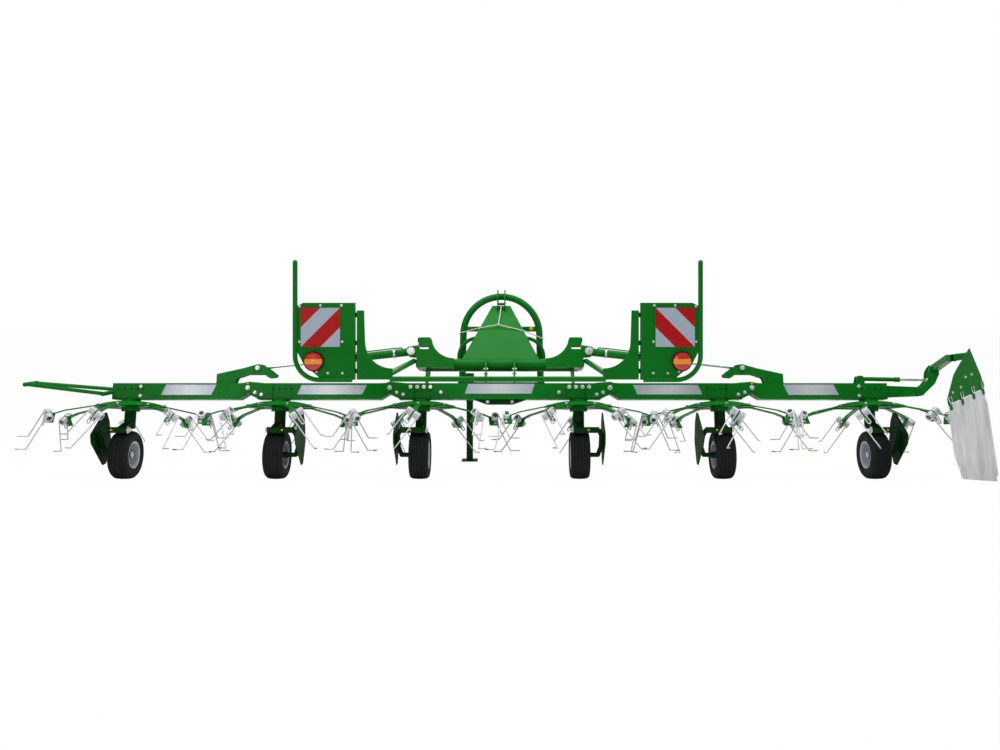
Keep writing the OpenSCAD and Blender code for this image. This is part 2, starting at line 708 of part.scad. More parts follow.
// Swinging deflector: curved ears, square arm, panel and curtain clips
module deflector_frame() color(paint) {
    ear = 12;
    tube = 50;
    clip_t = 6.5;
    leaf = curtain_t / 2 + side_fit;
    tip = [pivot_x + 18, beam_y - 520, beam_z + 318];
    tilted() for (f = [-1, 1]) translate([pivot_x, f * (pivot_web / 2 + side_fit + ear / 2), deflect_w])
        difference() {
            plate_xz(ear) {
                circle(r = 38);
                polygon(concat([[-30, -22], [30, -22], [128, 66], [172, 150], [168, 232], [128, 232]],
                    arc([200, 130], 128, 125, 190, 6), [[30, 60], [-30, 22]]));
            }
            pin_y(4 * ear, pivot_d + 2 * fit);
        }
    tilted() for (f = [-1, 1])
        translate([pivot_x, f * (pivot_web / 2 + side_fit + ear), deflect_w])
            translate([deflect_eye.x, 0, deflect_eye.y]) pin_y(ear, small_pin_d);
    hull() {
        tilted() translate([pivot_x + 128, -pivot_web / 2 - 1, deflect_w + 170])
            cube([40, pivot_web + 2, 56]);
        translate(tip - [tube / 2, 0, tube / 2]) cube([tube, 10, tube]);
    }
    translate(tip - [tube / 2, 60, tube / 2]) cube([tube, 70, tube]);
    hull() {
        translate(tip - [tube / 2, 20, tube / 2]) cube([tube, 10, tube]);
        panel_plane() translate([470, 0, 270]) cube([50, 2, 50]);
    }
    panel_plane() {
        plate_xz(5) polygon(rounded([[0, 6], [curtain_l, 6], [curtain_l - 8, 108], [curtain_l - 105, 350],
            [242, 230], [182, 200], [8, 54]], 7));
        for (k = [0.05, 0.36, 0.67, 0.95]) for (f = [-1, 1])
            translate([k * curtain_l - 14, f > 0 ? leaf : -leaf - clip_t, -40]) cube([28, clip_t, 74]);
        for (k = [0.05, 0.36, 0.67, 0.95])
            translate([k * curtain_l - 14, -leaf - 1, 12]) cube([28, 2 * leaf + 2, 20]);
    }
}

// Curtain that hangs from the panel
module deflector_curtain() color([0.72, 0.73, 0.7]) panel_plane() plate_xz(curtain_t) {
    down = -[sin(edge_slope), cos(edge_slope)];
    polygon([[0, 0], [curtain_l, 0],
        [curtain_l, 0] + down * (curtain_h + edge_rise), down * (curtain_h - edge_rise)]);
}

// Line of the small cylinder that lifts the deflector, along X from its base pin
module deflector_line() {
    tilted() translate([deflect_base.x, 0, deflect_base.y])
        rotate([0, -atan2(deflect_span.y, deflect_span.x), 0]) children();
}

// Barrel of a cylinder along X: base eye, tube with its bore, and the gland
module cyl_barrel(length, d, rod, pin, eye_w) {
    difference() {
        union() {
            pin_y(eye_w, pin + 24);
            translate([pin / 2 + 4, 0, 0]) rotate([0, 90, 0]) cylinder(h = length - pin / 2 - 4, d = d);
            translate([length - 40, 0, 0]) rotate([0, 90, 0]) cylinder(h = 40, d = d + 6);
        }
        pin_y(eye_w + 10, pin + 2 * fit);
        translate([pin + 40, 0, 0]) rotate([0, 90, 0]) cylinder(h = length, d = rod + 2 * fit);
    }
}

// Rod of a cylinder along X, with its eye and the eye's pin at the far end
module cyl_rod(from, to, rod, pin, eye_w, pin_l) {
    translate([from, 0, 0]) rotate([0, 90, 0]) cylinder(h = to - from - pin / 2 - 4, d = rod);
    translate([to, 0, 0]) {
        pin_y(eye_w, pin + 24);
        pin_y(pin_l, pin);
    }
}

module deflector_barrel() color(paint) deflector_line()
    cyl_barrel(small_barrel_l, small_barrel_d, small_rod_d, small_pin_d, 49);

module deflector_rod() color(steel) deflector_line()
    cyl_rod(small_barrel_l - 30, norm(deflect_span), small_rod_d, small_pin_d, pivot_web - 6, pivot_web);

// Line of a fold cylinder from its base pin to the lever's eye
module fold_line(s) {
    tilted() on_side(s) translate([base_x, 0, base_w]) rotate([0, -atan2(fold_span.y, fold_span.x), 0])
        children();
}

module fold_barrel(s) color(paint) fold_line(s)
    cyl_barrel(barrel_l, barrel_d, rod_d, cyl_pin_d, bracket_gap - 2 * side_fit);

module fold_rod(s) color(steel) fold_line(s)
    cyl_rod(barrel_l - 20, norm(fold_span), rod_d, cyl_pin_d, 50, lever_gap - 2 * side_fit);

// Outline of a flat bar bent along points
function bent_strip(p, t) = let (n = len(p) - 1, normal = [for (i = [0 : n])
        let (a = p[max(i - 1, 0)], b = p[min(i + 1, n)], d = b - a) [-d.y, d.x] / norm(d)])
    concat([for (i = [0 : n]) p[i] + normal[i] * t / 2], [for (i = [n : -1 : 0])
        p[i] - normal[i] * t / 2]);

// Frame of a tine: X outward, Z along the coils, -Y along the legs
module tine_frame() {
    translate([coil_r_pos, 0, -coil_drop]) rotate([leg_slope, 0, 0]) children();
}

module tine_arm() {
    rotate([90, 0, 0]) linear_extrude(height = arm_w, center = true) polygon(bent_strip(arm_path, arm_t));
    tine_frame() translate([-coil_d / 2 - 18, -tab_l + 24, -tab_t / 2])
        cube([coil_d / 2 + 36, tab_l, tab_t]);
}

// Section of a coil: one low crest for each turn, with shallow valleys between them
function coil_outline(r, inner) = concat([[inner, 0]],
    [for (k = [0 : coil_turns - 1]) let (z = coil_edge + k * wire_d) each [[r - 2.2, k == 0 ? 0 : z],
        [r - 0.5, z + 2.2], [r, z + wire_d / 2], [r - 0.5, z + wire_d - 2.2]]],
    [[r - 2.2, coil_l], [inner, coil_l]]);

// Sprung double tine: two coils, a hairpin over the arm's tab and two hooked legs
module tine() {
    mean_r = (coil_d - wire_d) / 2;
    side = tab_t / 2 + 0.6;
    pin_z = side + coil_edge + wire_d / 2;
    leg_z = side + coil_l - coil_edge - wire_d / 2;
    run = [sin(leg_lean), -cos(leg_lean), 0];
    out = [cos(leg_lean), sin(leg_lean), 0];
    tine_frame() {
        for (f = [-1, 1]) {
            leg = f < 0 ? long_leg : short_leg;
            start = out * mean_r + [0, 0, f * leg_z];
            knee = start + run * leg;
            translate([0, 0, f > 0 ? side : -side - coil_l]) rotate([0, 0, 100]) rotate_extrude()
                polygon(coil_outline(coil_d / 2 + 0.4, coil_d / 2 - wire_d - 0.6));
            bar(start, knee, wire_d);
            translate(knee) sphere(d = wire_d + 0.4);
            bar(knee, knee + [hook_len, 0, 0], wire_d);
            bar([mean_r, 0, f * pin_z], [mean_r, -tab_l + 10, f * pin_z], wire_d);
        }
        translate([mean_r, -tab_l + 10, 0]) rotate([0, 90, 0]) rotate([0, 0, 180])
            rotate_extrude(angle = 180)
            translate([pin_z, 0]) circle(d = wire_d);
    }
}

// Odd rotors turn one way; even rotors are their mirror image, half a pitch apart where they meet
module rotor_place(i) {
    phase = i % 2 == 1 ? odd_phase : odd_phase - 180 - pitch / 2;
    tilted() translate([rotor_x[i - 1], 0, 0]) mirror([0, i % 2 == 1 ? 0 : 1, 0]) rotate([0, 0, phase])
        children();
}

// Pressed disc with a hub that turns on the column
module rotor_disc() {
    bore = column_d / 2 + fit;
    hub_r = 76;
    steps = 8;
    crown = [for (k = [0 : steps]) let (r = hub_r + (disc_r - hub_r) * k / steps)
        [r, -disc_top - disc_crown * (1 - cos(90 * pow(k / steps, 1.1)))]];
    rotate_extrude() polygon(concat([[bore, -disc_top]], crown,
        [for (k = [steps : -1 : 0]) crown[k] - [k == steps ? 0 : 1, disc_t]],
        [[hub_r, -hub_low], [bore, -hub_low]]));
}

module rotor(i) color(paint) rotor_place(i) {
    rotor_disc();
    for (k = [0 : arm_count - 1]) rotate([0, 0, k * pitch]) tine_arm();
}

module tines(i) color(silver) rotor_place(i) for (k = [0 : arm_count - 1]) rotate([0, 0, k * pitch])
    tine();

// Wheel frame: the axle along X
module wheel_place(i) {
    g = i % 2 == 1 ? -1 : 1;
    translate([rotor_x[i - 1], axle_y, axle_z]) rotate([0, 90 * g, 0]) children();
}

// Tyre with rounded shoulders and round grooves
module tyre(i) color(black) wheel_place(i) {
    half = tyre_w / 2;
    rim_r = rim_d / 2 + fit;
    tread = tyre_d / 2;
    groove = 8;
    rotate_extrude() polygon(concat(
        [[rim_r, -half + bead_in], [rim_r + 14, -half + bead_in - 6], [rim_r + 45, -half],
            [tread - 30, -half + 3]],
        [[tread - 8, -half + 16], [tread, -half + 30]],
        [for (x = [-30, 0, 30]) each [[tread, x - 7], [tread - groove, x - 5], [tread - groove, x + 5],
            [tread, x + 7]]],
        [[tread, half - 30], [tread - 8, half - 16]],
        [[tread - 30, half - 3], [rim_r + 45, half],
            [rim_r + 14, half - bead_in + 6], [rim_r, half - bead_in]]));
}

// Pressed rim, open to the machine's middle, on a hub that turns on the stub axle
module rim(i) color(silver) wheel_place(i) {
    half = tyre_w / 2 - bead_in + 0.3;
    seat = rim_d / 2;
    lip = 12;
    lean = lip * 6 / 14;
    bore = axle_d / 2 + fit;
    hub_r = bore + 18;
    rotate_extrude() polygon([[bore, -hub_half], [hub_r, -hub_half], [hub_r, 14], [seat - 30, 24],
        [seat - 8, 14],
        [seat - 8, -half + 2], [seat - 4, -half - 6], [seat + lip, -half - lean - 5],
            [seat + lip, -half - lean],
        [seat, -half], [seat, half], [seat + lip, half + lean], [seat + lip, half + lean + 5],
        [seat - 4, half + 6], [seat - 8, half - 2], [seat - 8, 30], [hub_r, hub_half], [bore, hub_half]]);
}

main_beam();
gearbox();
cross_tube();
headstock();
mast_plate();
pull_cord();
light_carrier();
light_panels();
warning_boards();
rear_lamps();
rubber_buffers();
center_wheel_legs();
pto_stub();
parking_stand();
inner_wing(-1);  // inner_wing_left
inner_wing(1);  // inner_wing_right
inner_wheel_leg(-1);  // inner_wheel_leg_left
inner_wheel_leg(1);  // inner_wheel_leg_right
outer_wing(-1);  // outer_wing_left
outer_wing(1);  // outer_wing_right
outer_wheel_leg(-1);  // outer_wheel_leg_left
outer_wheel_leg(1);  // outer_wheel_leg_right
guard_bar();
deflector_bracket();
deflector_frame();
deflector_curtain();
deflector_barrel();
deflector_rod();
fold_barrel(-1);  // fold_barrel_left
fold_barrel(1);  // fold_barrel_right
fold_rod(-1);  // fold_rod_left
fold_rod(1);  // fold_rod_right
rotor(1);  // rotor_1
rotor(2);  // rotor_2
rotor(3);  // rotor_3
rotor(4);  // rotor_4
rotor(5);  // rotor_5
rotor(6);  // rotor_6
tines(1);  // tines_1
tines(2);  // tines_2
tines(3);  // tines_3
tines(4);  // tines_4
tines(5);  // tines_5
tines(6);  // tines_6
rim(1);  // rim_1
rim(2);  // rim_2
rim(3);  // rim_3
rim(4);  // rim_4
rim(5);  // rim_5
rim(6);  // rim_6
tyre(1);  // tyre_1
tyre(2);  // tyre_2
tyre(3);  // tyre_3
tyre(4);  // tyre_4
tyre(5);  // tyre_5
tyre(6);  // tyre_6
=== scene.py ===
import json
import math

import bpy
from mathutils import Matrix, Vector


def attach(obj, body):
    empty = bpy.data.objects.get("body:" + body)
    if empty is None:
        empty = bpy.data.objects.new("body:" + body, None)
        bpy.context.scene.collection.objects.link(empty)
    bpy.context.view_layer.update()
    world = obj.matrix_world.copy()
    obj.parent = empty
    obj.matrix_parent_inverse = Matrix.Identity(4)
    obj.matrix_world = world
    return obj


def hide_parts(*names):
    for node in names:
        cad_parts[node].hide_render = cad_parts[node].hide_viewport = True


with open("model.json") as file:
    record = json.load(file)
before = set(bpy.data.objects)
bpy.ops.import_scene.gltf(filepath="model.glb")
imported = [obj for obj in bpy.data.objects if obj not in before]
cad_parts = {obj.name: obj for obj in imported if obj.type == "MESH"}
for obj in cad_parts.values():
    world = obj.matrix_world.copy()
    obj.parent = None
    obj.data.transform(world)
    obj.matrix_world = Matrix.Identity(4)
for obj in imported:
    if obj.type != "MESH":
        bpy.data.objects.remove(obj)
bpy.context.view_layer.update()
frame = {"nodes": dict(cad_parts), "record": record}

bl_info = {
    "name": "Hay tedder dressing",
    "version": (1, 0, 0),
    "blender": (4, 5, 0),
    "location": "View3D > Sidebar > Tedder",
    "description": "Finishes, fittings, tyres and curtain for a six-rotor hay tedder",
    "category": "Object",
}

# Places on the machine, in metres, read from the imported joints
JOINTS = {j["name"]: j for j in frame["record"]["behaviour"]["joints"]}
BEAM_Y, BEAM_Z = JOINTS["reel_3_spin"]["pos_m"][1:]
ROTORS = range(1, 7)
REEL_X = [JOINTS[f"reel_{i}_spin"]["pos_m"][0] for i in ROTORS]
AXLE_Y, AXLE_Z = JOINTS["wheel_1_spin"]["pos_m"][1:]
HINGE_A = abs(JOINTS["fold_right"]["pos_m"][0])
HINGE_B = abs(JOINTS["outer_fold_right"]["pos_m"][0])
TILT = math.radians(10.0)
BEAM = Matrix.Translation((0, BEAM_Y, BEAM_Z)) @ Matrix.Rotation(-TILT, 4, "X")
HITCH_Y = BEAM_Y + 0.900
CARRIER_Y = BEAM_Y - 1.050
HOST = {1: "outer_left", 2: "wing_left", 3: "frame", 4: "frame", 5: "wing_right", 6: "outer_right"}
WINGS = {-1: "wing_left", 1: "wing_right"}
OUTERS = {-1: "outer_left", 1: "outer_right"}
SIDES = ((-1, "left"), (1, "right"))
FINISH = {}

# Turns that bring a fitting's own +Z to face the way it is seated
TO_REAR = Matrix.Rotation(math.radians(90), 4, "X")
TO_FRONT = Matrix.Rotation(math.radians(-90), 4, "X")
TO_RIGHT = Matrix.Rotation(math.radians(90), 4, "Y")
TO_LEFT = Matrix.Rotation(math.radians(-90), 4, "Y")

# Beam section, hinge and rotor sizes of the solids
BEAM_HALF = 0.065
COVER_T = 0.006
EAR_T = 0.014
HINGE_W = 0.028
ARMS = 7
PITCH = 2 * math.pi / ARMS
DISC_BOLT_R = 0.272
DISC_FACE = -0.1205
COIL_R, COIL_Z = 0.640, -0.225
COIL_LEAN = math.radians(56)

# Fold cylinder's base pin and the lever's eye, across and up in the beam's frame
BASE_PIN = (0.768, 0.348)
LEVER_EYE = (HINGE_B - 0.064, 0.203)

# Warning boards, rear lamps and the sheet that carries them
BOARD_X, BOARD_Z = 1.322, 1.297
LAMP_X, LAMP_Z = 1.371, 1.043
PANEL_FACE = CARRIER_Y - 0.002

# Deflector: slope and length of the panel's lower edge, the cloth's drop at both ends, its width
# with the pockets laid flat, and the places of the clips as shares of that edge
EDGE_SLOPE = math.atan2(0.095, 0.633)
CURTAIN_L = math.hypot(0.633, 0.095)
SHORT_DROP, LONG_DROP = 0.545, 0.735
CLIPS = (0.05, 0.36, 0.67, 0.95)


def at(x, y, z):
    return Matrix.Translation((x, y, z))


# Node trees


def new_finish(name):
    """An empty material with a Principled shader; returns it, the shader and the Object coordinates."""
    mat = bpy.data.materials.new(name)
    mat.use_nodes = True
    nodes = mat.node_tree.nodes
    nodes.clear()
    out = nodes.new("ShaderNodeOutputMaterial")
    shader = nodes.new("ShaderNodeBsdfPrincipled")
    mat.node_tree.links.new(shader.outputs["BSDF"], out.inputs["Surface"])
    coords = nodes.new("ShaderNodeTexCoord").outputs["Object"]
    return mat, shader, coords


def feed(mat, socket, value):
    """Links a socket, or sets it where the value is a number or a colour."""
    if isinstance(value, bpy.types.NodeSocket):
        mat.node_tree.links.new(value, socket)
    elif hasattr(value, "__len__") and len(value) == 3 and socket.type == "RGBA":
        socket.default_value = (*value, 1.0)
    else:
        socket.default_value = value


def noise(mat, coords, scale, detail=3.0, rough=0.5):
    node = mat.node_tree.nodes.new("ShaderNodeTexNoise")
    node.inputs["Scale"].default_value = scale
    node.inputs["Detail"].default_value = detail
    node.inputs["Roughness"].default_value = rough
    feed(mat, node.inputs["Vector"], coords)
    return node.outputs["Fac"]


def maths(mat, operation, a, b=0.0):
    node = mat.node_tree.nodes.new("ShaderNodeMath")
    node.operation = operation
    feed(mat, node.inputs[0], a)
    feed(mat, node.inputs[1], b)
    return node.outputs[0]


def ranged(mat, value, low, high, to_low, to_high):
    node = mat.node_tree.nodes.new("ShaderNodeMapRange")
    feed(mat, node.inputs["Value"], value)
    for socket, number in zip(("From Min", "From Max", "To Min", "To Max"), (low, high, to_low, to_high)):
        node.inputs[socket].default_value = number
    return node.outputs["Result"]


def mixed(mat, factor, first, second):
    node = mat.node_tree.nodes.new("ShaderNodeMix")
    node.data_type = "RGBA"
    feed(mat, node.inputs[0], factor)
    feed(mat, node.inputs[6], first)
    feed(mat, node.inputs[7], second)
    return node.outputs[2]


def split(mat, coords):
    node = mat.node_tree.nodes.new("ShaderNodeSeparateXYZ")
    feed(mat, node.inputs[0], coords)
    return node.outputs


def bumped(mat, shader, height, strength, distance):
    node = mat.node_tree.nodes.new("ShaderNodeBump")
    node.inputs["Strength"].default_value = strength
    node.inputs["Distance"].default_value = distance
    feed(mat, node.inputs["Height"], height)
    mat.node_tree.links.new(node.outputs["Normal"], shader.inputs["Normal"])


def tinted(colour, share):
    return tuple(min(1.0, c * share) for c in colour)


# Finishes


def powder_paint(name, colour, rough, dust):
    """Gloss machine paint with a slight drift of tone, a little field dust and orange peel."""
    mat, shader, coords = new_finish(name)
    tone = mixed(mat, noise(mat, coords, 2.3), tinted(colour, 0.82), tinted(colour, 1.12))
    specks = ranged(mat, noise(mat, coords, 34.0, 6.0, 0.7), 0.56, 0.78, 0.0, dust)
    feed(mat, shader.inputs["Base Color"], mixed(mat, specks, tone, (0.20, 0.17, 0.11)))
    sheen = ranged(mat, noise(mat, coords, 11.0), 0.3, 0.7, rough - 0.06, rough + 0.12)
    feed(mat, shader.inputs["Roughness"], sheen)
    shader.inputs["Specular IOR Level"].default_value = 0.12
    bumped(mat, shader, noise(mat, coords, 260.0, 2.0), 0.08, 0.001)
    return mat


def bare_metal(name, colour, rough, metallic=1.0):
    """Plated or drawn steel with fine streaks and stains."""
    mat, shader, coords = new_finish(name)
    mapping = mat.node_tree.nodes.new("ShaderNodeMapping")
    mapping.inputs["Scale"].default_value = (1.0, 1.0, 9.0)
    feed(mat, mapping.inputs["Vector"], coords)
    streaks = noise(mat, mapping.outputs["Vector"], 60.0, 4.0)
    feed(mat, shader.inputs["Base Color"], mixed(mat, streaks, tinted(colour, 0.75), tinted(colour, 1.12)))
    sheen = ranged(mat, noise(mat, coords, 25.0), 0.3, 0.7, rough, rough + 0.18)
    feed(mat, shader.inputs["Roughness"], sheen)
    shader.inputs["Metallic"].default_value = metallic
    bumped(mat, shader, streaks, 0.06, 0.0006)
    return mat


def rubber(name, colour, rough):
    """Moulded rubber, dusty in places."""
    mat, shader, coords = new_finish(name)
    dust = ranged(mat, noise(mat, coords, 9.0, 5.0, 0.65), 0.45, 0.75, 0.0, 0.35)
    feed(mat, shader.inputs["Base Color"], mixed(mat, dust, colour, (0.030, 0.029, 0.026)))
    sheen = ranged(mat, noise(mat, coords, 40.0), 0.3, 0.7, rough - 0.1, rough + 0.1)
    feed(mat, shader.inputs["Roughness"], sheen)
    shader.inputs["Specular IOR Level"].default_value = 0.12
    bumped(mat, shader, noise(mat, coords, 420.0, 3.0), 0.15, 0.0008)
    return mat


def striped_board(name, red, white):
    """Retro-reflective board: mirrored diagonal bands with a fine honeycomb cell."""
    mat, shader, coords = new_finish(name)
    x, _, z = split(mat, coords)
    across = maths(mat, "SUBTRACT", BOARD_X, maths(mat, "ABSOLUTE", x))
    slant = maths(mat, "SUBTRACT", across, maths(mat, "SUBTRACT", z, BOARD_Z))
    bands = maths(mat, "ADD", maths(mat, "DIVIDE", slant, 0.292), 1.0)
    phase = maths(mat, "FRACT", bands)
    is_white = maths(mat, "GREATER_THAN", phase, 0.5)
    cell = mat.node_tree.nodes.new("ShaderNodeTexVoronoi")
    cell.inputs["Scale"].default_value = 260.0
    feed(mat, cell.inputs["Vector"], coords)
    glint = ranged(mat, cell.outputs["Distance"], 0.0, 0.8, 0.0, 0.35)
    pale = mixed(mat, glint, white, tinted(white, 0.72))
    deep = mixed(mat, glint, red, tinted(red, 0.7))
    feed(mat, shader.inputs["Base Color"], mixed(mat, is_white, deep, pale))
    feed(mat, shader.inputs["Roughness"], ranged(mat, noise(mat, coords, 18.0), 0.3, 0.7, 0.22, 0.38))
    shader.inputs["Specular IOR Level"].default_value = 0.25
    bumped(mat, shader, cell.outputs["Distance"], 0.06, 0.0005)
    return mat


def lamp_lens(name, red, amber):
    """Ribbed lens: red above and below, an amber band across the middle."""
    mat, shader, coords = new_finish(name)
    x, _, z = split(mat, coords)
    offset = maths(mat, "ABSOLUTE", maths(mat, "SUBTRACT", z, LAMP_Z))
    ribs = maths(mat, "SINE", maths(mat, "MULTIPLY", x, 620.0))
    edge = maths(mat, "ADD", 0.019, maths(mat, "MULTIPLY", ribs, 0.0012))
    band = maths(mat, "LESS_THAN", offset, edge)
    cells = mat.node_tree.nodes.new("ShaderNodeTexVoronoi")
    cells.inputs["Scale"].default_value = 85.0
    feed(mat, cells.inputs["Vector"], coords)
    shade = ranged(mat, cells.outputs["Distance"], 0.0, 0.7, 0.0, 0.4)
    hot = mixed(mat, shade, red, tinted(red, 0.55))
    warm = mixed(mat, shade, amber, tinted(amber, 0.7))
    feed(mat, shader.inputs["Base Color"], mixed(mat, band, hot, warm))
    shader.inputs["Roughness"].default_value = 0.12
    shader.inputs["Coat Weight"].default_value = 0.6
    bumped(mat, shader, cells.outputs["Distance"], 0.35, 0.002)
    return mat


def twisted_rope(name, colour):
    """Laid rope: slanting strands and fuzz."""
    mat, shader, coords = new_finish(name)
    wave = mat.node_tree.nodes.new("ShaderNodeTexWave")
    wave.bands_direction = "DIAGONAL"
    wave.inputs["Scale"].default_value = 70.0
    wave.inputs["Distortion"].default_value = 1.5
    feed(mat, wave.inputs["Vector"], coords)
    feed(mat, shader.inputs["Base Color"], mixed(mat, wave.outputs["Fac"], tinted(colour, 0.72), colour))
    feed(mat, shader.inputs["Roughness"], ranged(mat, noise(mat, coords, 300.0), 0.3, 0.7, 0.75, 0.95))
    bumped(mat, shader, wave.outputs["Fac"], 0.6, 0.002)
    return mat


def coated_cloth(name, colour):
    """Coated curtain fabric: a fine weave under the coating, painted shade and highlights along its vertical
    folds, and a dusty foot.
    """
    mat, shader, coords = new_finish(name)
    mapping = mat.node_tree.nodes.new("ShaderNodeMapping")
    mapping.inputs["Scale"].default_value = (14.0, 14.0, 1.6)
    feed(mat, mapping.inputs["Vector"], coords)
    # Vertical streaks of painted shade and painted highlight along the folds, darker and lighter than the
    # cloth; the same pattern also varies the roughness
    painted_fold_shade = noise(mat, mapping.outputs["Vector"], 1.4, 4.0)
    tone = mixed(mat, ranged(mat, painted_fold_shade, 0.35, 0.7, 0.0, 1.0), tinted(colour, 0.82), tinted(colour, 1.1))
    _, _, z = split(mat, coords)
    foot = maths(mat, "MULTIPLY", ranged(mat, z, 0.08, 0.35, 0.30, 0.0), noise(mat, coords, 14.0, 5.0))
    feed(mat, shader.inputs["Base Color"], mixed(mat, foot, tone, (0.30, 0.27, 0.20)))
    feed(mat, shader.inputs["Roughness"], ranged(mat, painted_fold_shade, 0.3, 0.7, 0.42, 0.62))
    shader.inputs["Sheen Weight"].default_value = 0.15
    weave = mat.node_tree.nodes.new("ShaderNodeTexWave")
    weave.inputs["Scale"].default_value = 330.0
    feed(mat, weave.inputs["Vector"], coords)
    bumped(mat, shader, weave.outputs["Fac"], 0.12, 0.0006)
    return mat


def bare_plate(name, middle, half, pale, edge):
    """Blank foil plate with a painted reflection: pale in the middle, falling off to a bluish tone at both
    ends.
    """
    mat, shader, coords = new_finish(name)
    x = split(mat, coords)[0]
    # Painted reflection: the tone runs from the pale middle to the bluish ends
    out = maths(mat, "DIVIDE", maths(mat, "ABSOLUTE", maths(mat, "SUBTRACT", x, middle)), half)
    painted_reflection_falloff = ranged(mat, out, 0.15, 0.95, 0.0, 1.0)
    tone = mixed(mat, painted_reflection_falloff, pale, edge)
    stains = noise(mat, coords, 55.0, 4.0)
    feed(mat, shader.inputs["Base Color"], mixed(mat, stains, tone, tinted(pale, 0.9)))
    feed(mat, shader.inputs["Roughness"], ranged(mat, noise(mat, coords, 20.0), 0.3, 0.7, 0.28, 0.42))
    shader.inputs["Metallic"].default_value = 0.35
    bumped(mat, shader, noise(mat, coords, 150.0), 0.03, 0.0005)
    return mat


# Modelling steps


def start():
    """Leaves edit mode with nothing selected."""
    if bpy.context.mode != "OBJECT":
        bpy.ops.object.mode_set(mode="OBJECT")
    bpy.ops.object.select_all(action="DESELECT")


def only(piece):
    """Leaves one piece selected and active."""
    start()
    piece.select_set(True)
    bpy.context.view_layer.objects.active = piece


def edit(piece):
    only(piece)
    bpy.ops.object.mode_set(mode="EDIT")


def pick_faces(piece, test):
    """Selects faces in edit mode by their middle and normal."""
    bpy.ops.mesh.select_mode(type="FACE")
    bpy.ops.mesh.select_all(action="DESELECT")
    bpy.ops.object.mode_set(mode="OBJECT")
    for face in piece.data.polygons:
        face.select = test(face.center, face.normal)
    bpy.ops.object.mode_set(mode="EDIT")


def smooth(piece, degrees):
    only(piece)
    bpy.ops.object.shade_smooth_by_angle(angle=math.radians(degrees))


def settle(piece, name, mat, body):
    """Names a finished piece, gives it its finish and seats it on a body."""
    start()
    piece.name = name
    piece.data.name = name
    piece.data.materials.clear()
    piece.data.materials.append(mat)
    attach(piece, body)
    return piece


def joined(pieces):
    start()
    for p in pieces:
        p.select_set(True)
    bpy.context.view_layer.objects.active = pieces[0]
    if len(pieces) > 1:
        bpy.ops.object.join()
    return bpy.context.view_layer.objects.active


def blank(corners, radius, height, foot=0.0):
    """A many-cornered bar end standing on its foot, in edit mode with its top face picked."""
    start()
    middle = (0, 0, height / 2 + foot)
    bpy.ops.mesh.primitive_cylinder_add(vertices=corners, radius=radius, depth=height, location=middle)
    bpy.ops.object.transform_apply(location=True)
    piece = bpy.context.active_object
    edit(piece)
    pick_faces(piece, lambda c, n: n.z > 0.9)
    return piece


def hex_bolt(radius, height):
    """Hexagon head with a chamfered crown, on a washer."""
    washer_t = 0.0025
    head = blank(6, radius, height, washer_t)
    bpy.ops.mesh.inset(thickness=radius * 0.14, depth=height * 0.14)
    washer = blank(20, radius * 1.45, washer_t)
    bpy.ops.mesh.inset(thickness=radius * 0.12, depth=0.0006)
    return joined([head, washer])


def cap_bolt(radius, height):
    """Round head with a rolled edge and a round socket."""
    head = blank(24, radius, height)
    bpy.ops.mesh.inset(thickness=radius * 0.18, depth=height * 0.16)
    bpy.ops.mesh.inset(thickness=radius * 0.30, depth=0.0)
    bpy.ops.mesh.extrude_region_move(TRANSFORM_OT_translate={"value": (0, 0, -height * 0.45)})
    start()
    return head


def domed_cap(radius, height):
    """Pressed dome with a flange."""
    cap = blank(24, radius, height * 0.4)
    for inset, rise in ((0.12, 0.06), (0.22, 0.24), (0.26, 0.17), (0.22, 0.07)):
        bpy.ops.mesh.inset(thickness=radius * inset, depth=height * rise)
    start()
    return cap


def strewn(master, places):
    """Copies of a master, each with its own mesh, joined into one piece. The master is left as it was."""
    copies = []
    for place in places:
        copy = bpy.data.objects.new("copy", master.data.copy())
        copy.data.transform(place)
        if place.determinant() < 0:
            copy.data.flip_normals()
        bpy.context.scene.collection.objects.link(copy)
        copies.append(copy)
    return joined(copies)


def bright(master, places, name, body):
    """Bright steel copies of a master, seated on a body as one piece."""
    return settle(strewn(master, places), name, FINISH["bright"], body)


def discard(*pieces):
    start()
    for p in pieces:
        bpy.data.objects.remove(p, do_unlink=True)


def spun(outline, place, steps):
    """A closed outline of (radius, along) spun about its own Z, then placed."""
    start()
    bpy.ops.mesh.primitive_circle_add(vertices=len(outline), radius=0.1)
    piece = bpy.context.active_object
    for vertex, (radius, along) in zip(piece.data.vertices, outline):
        vertex.co = (radius, 0.0, along)
    edit(piece)
    bpy.ops.mesh.select_all(action="SELECT")
    bpy.ops.mesh.spin(steps=steps, angle=2 * math.pi, center=(0, 0, 0), axis=(0, 0, 1))
    bpy.ops.mesh.select_all(action="SELECT")
    bpy.ops.mesh.remove_doubles(threshold=0.00002)
    bpy.ops.mesh.normals_make_consistent(inside=False)
    start()
    piece.data.transform(place)
    return piece


def pipe(points, radius, sides=4):
    """A bent pipe through points, as a mesh."""
    curve = bpy.data.curves.new("pipe", "CURVE")
    curve.dimensions = "3D"
    curve.bevel_depth = radius
    curve.bevel_resolution = sides
    curve.resolution_u = 10
    curve.use_fill_caps = True
    spline = curve.splines.new("BEZIER")
    spline.bezier_points.add(len(points) - 1)
    for knot, point in zip(spline.bezier_points, points):
        knot.co = point
        knot.handle_left_type = knot.handle_right_type = "AUTO"
    piece = bpy.data.objects.new("pipe", curve)
    bpy.context.scene.collection.objects.link(piece)
    only(piece)
    bpy.ops.object.convert(target="MESH")
    return bpy.context.active_object


def oblong(a, b):
    """Corners of a rectangle of half lengths a and b, in a slab's order."""
    return [(-a, -b), (a, -b), (-a, b), (a, b)]


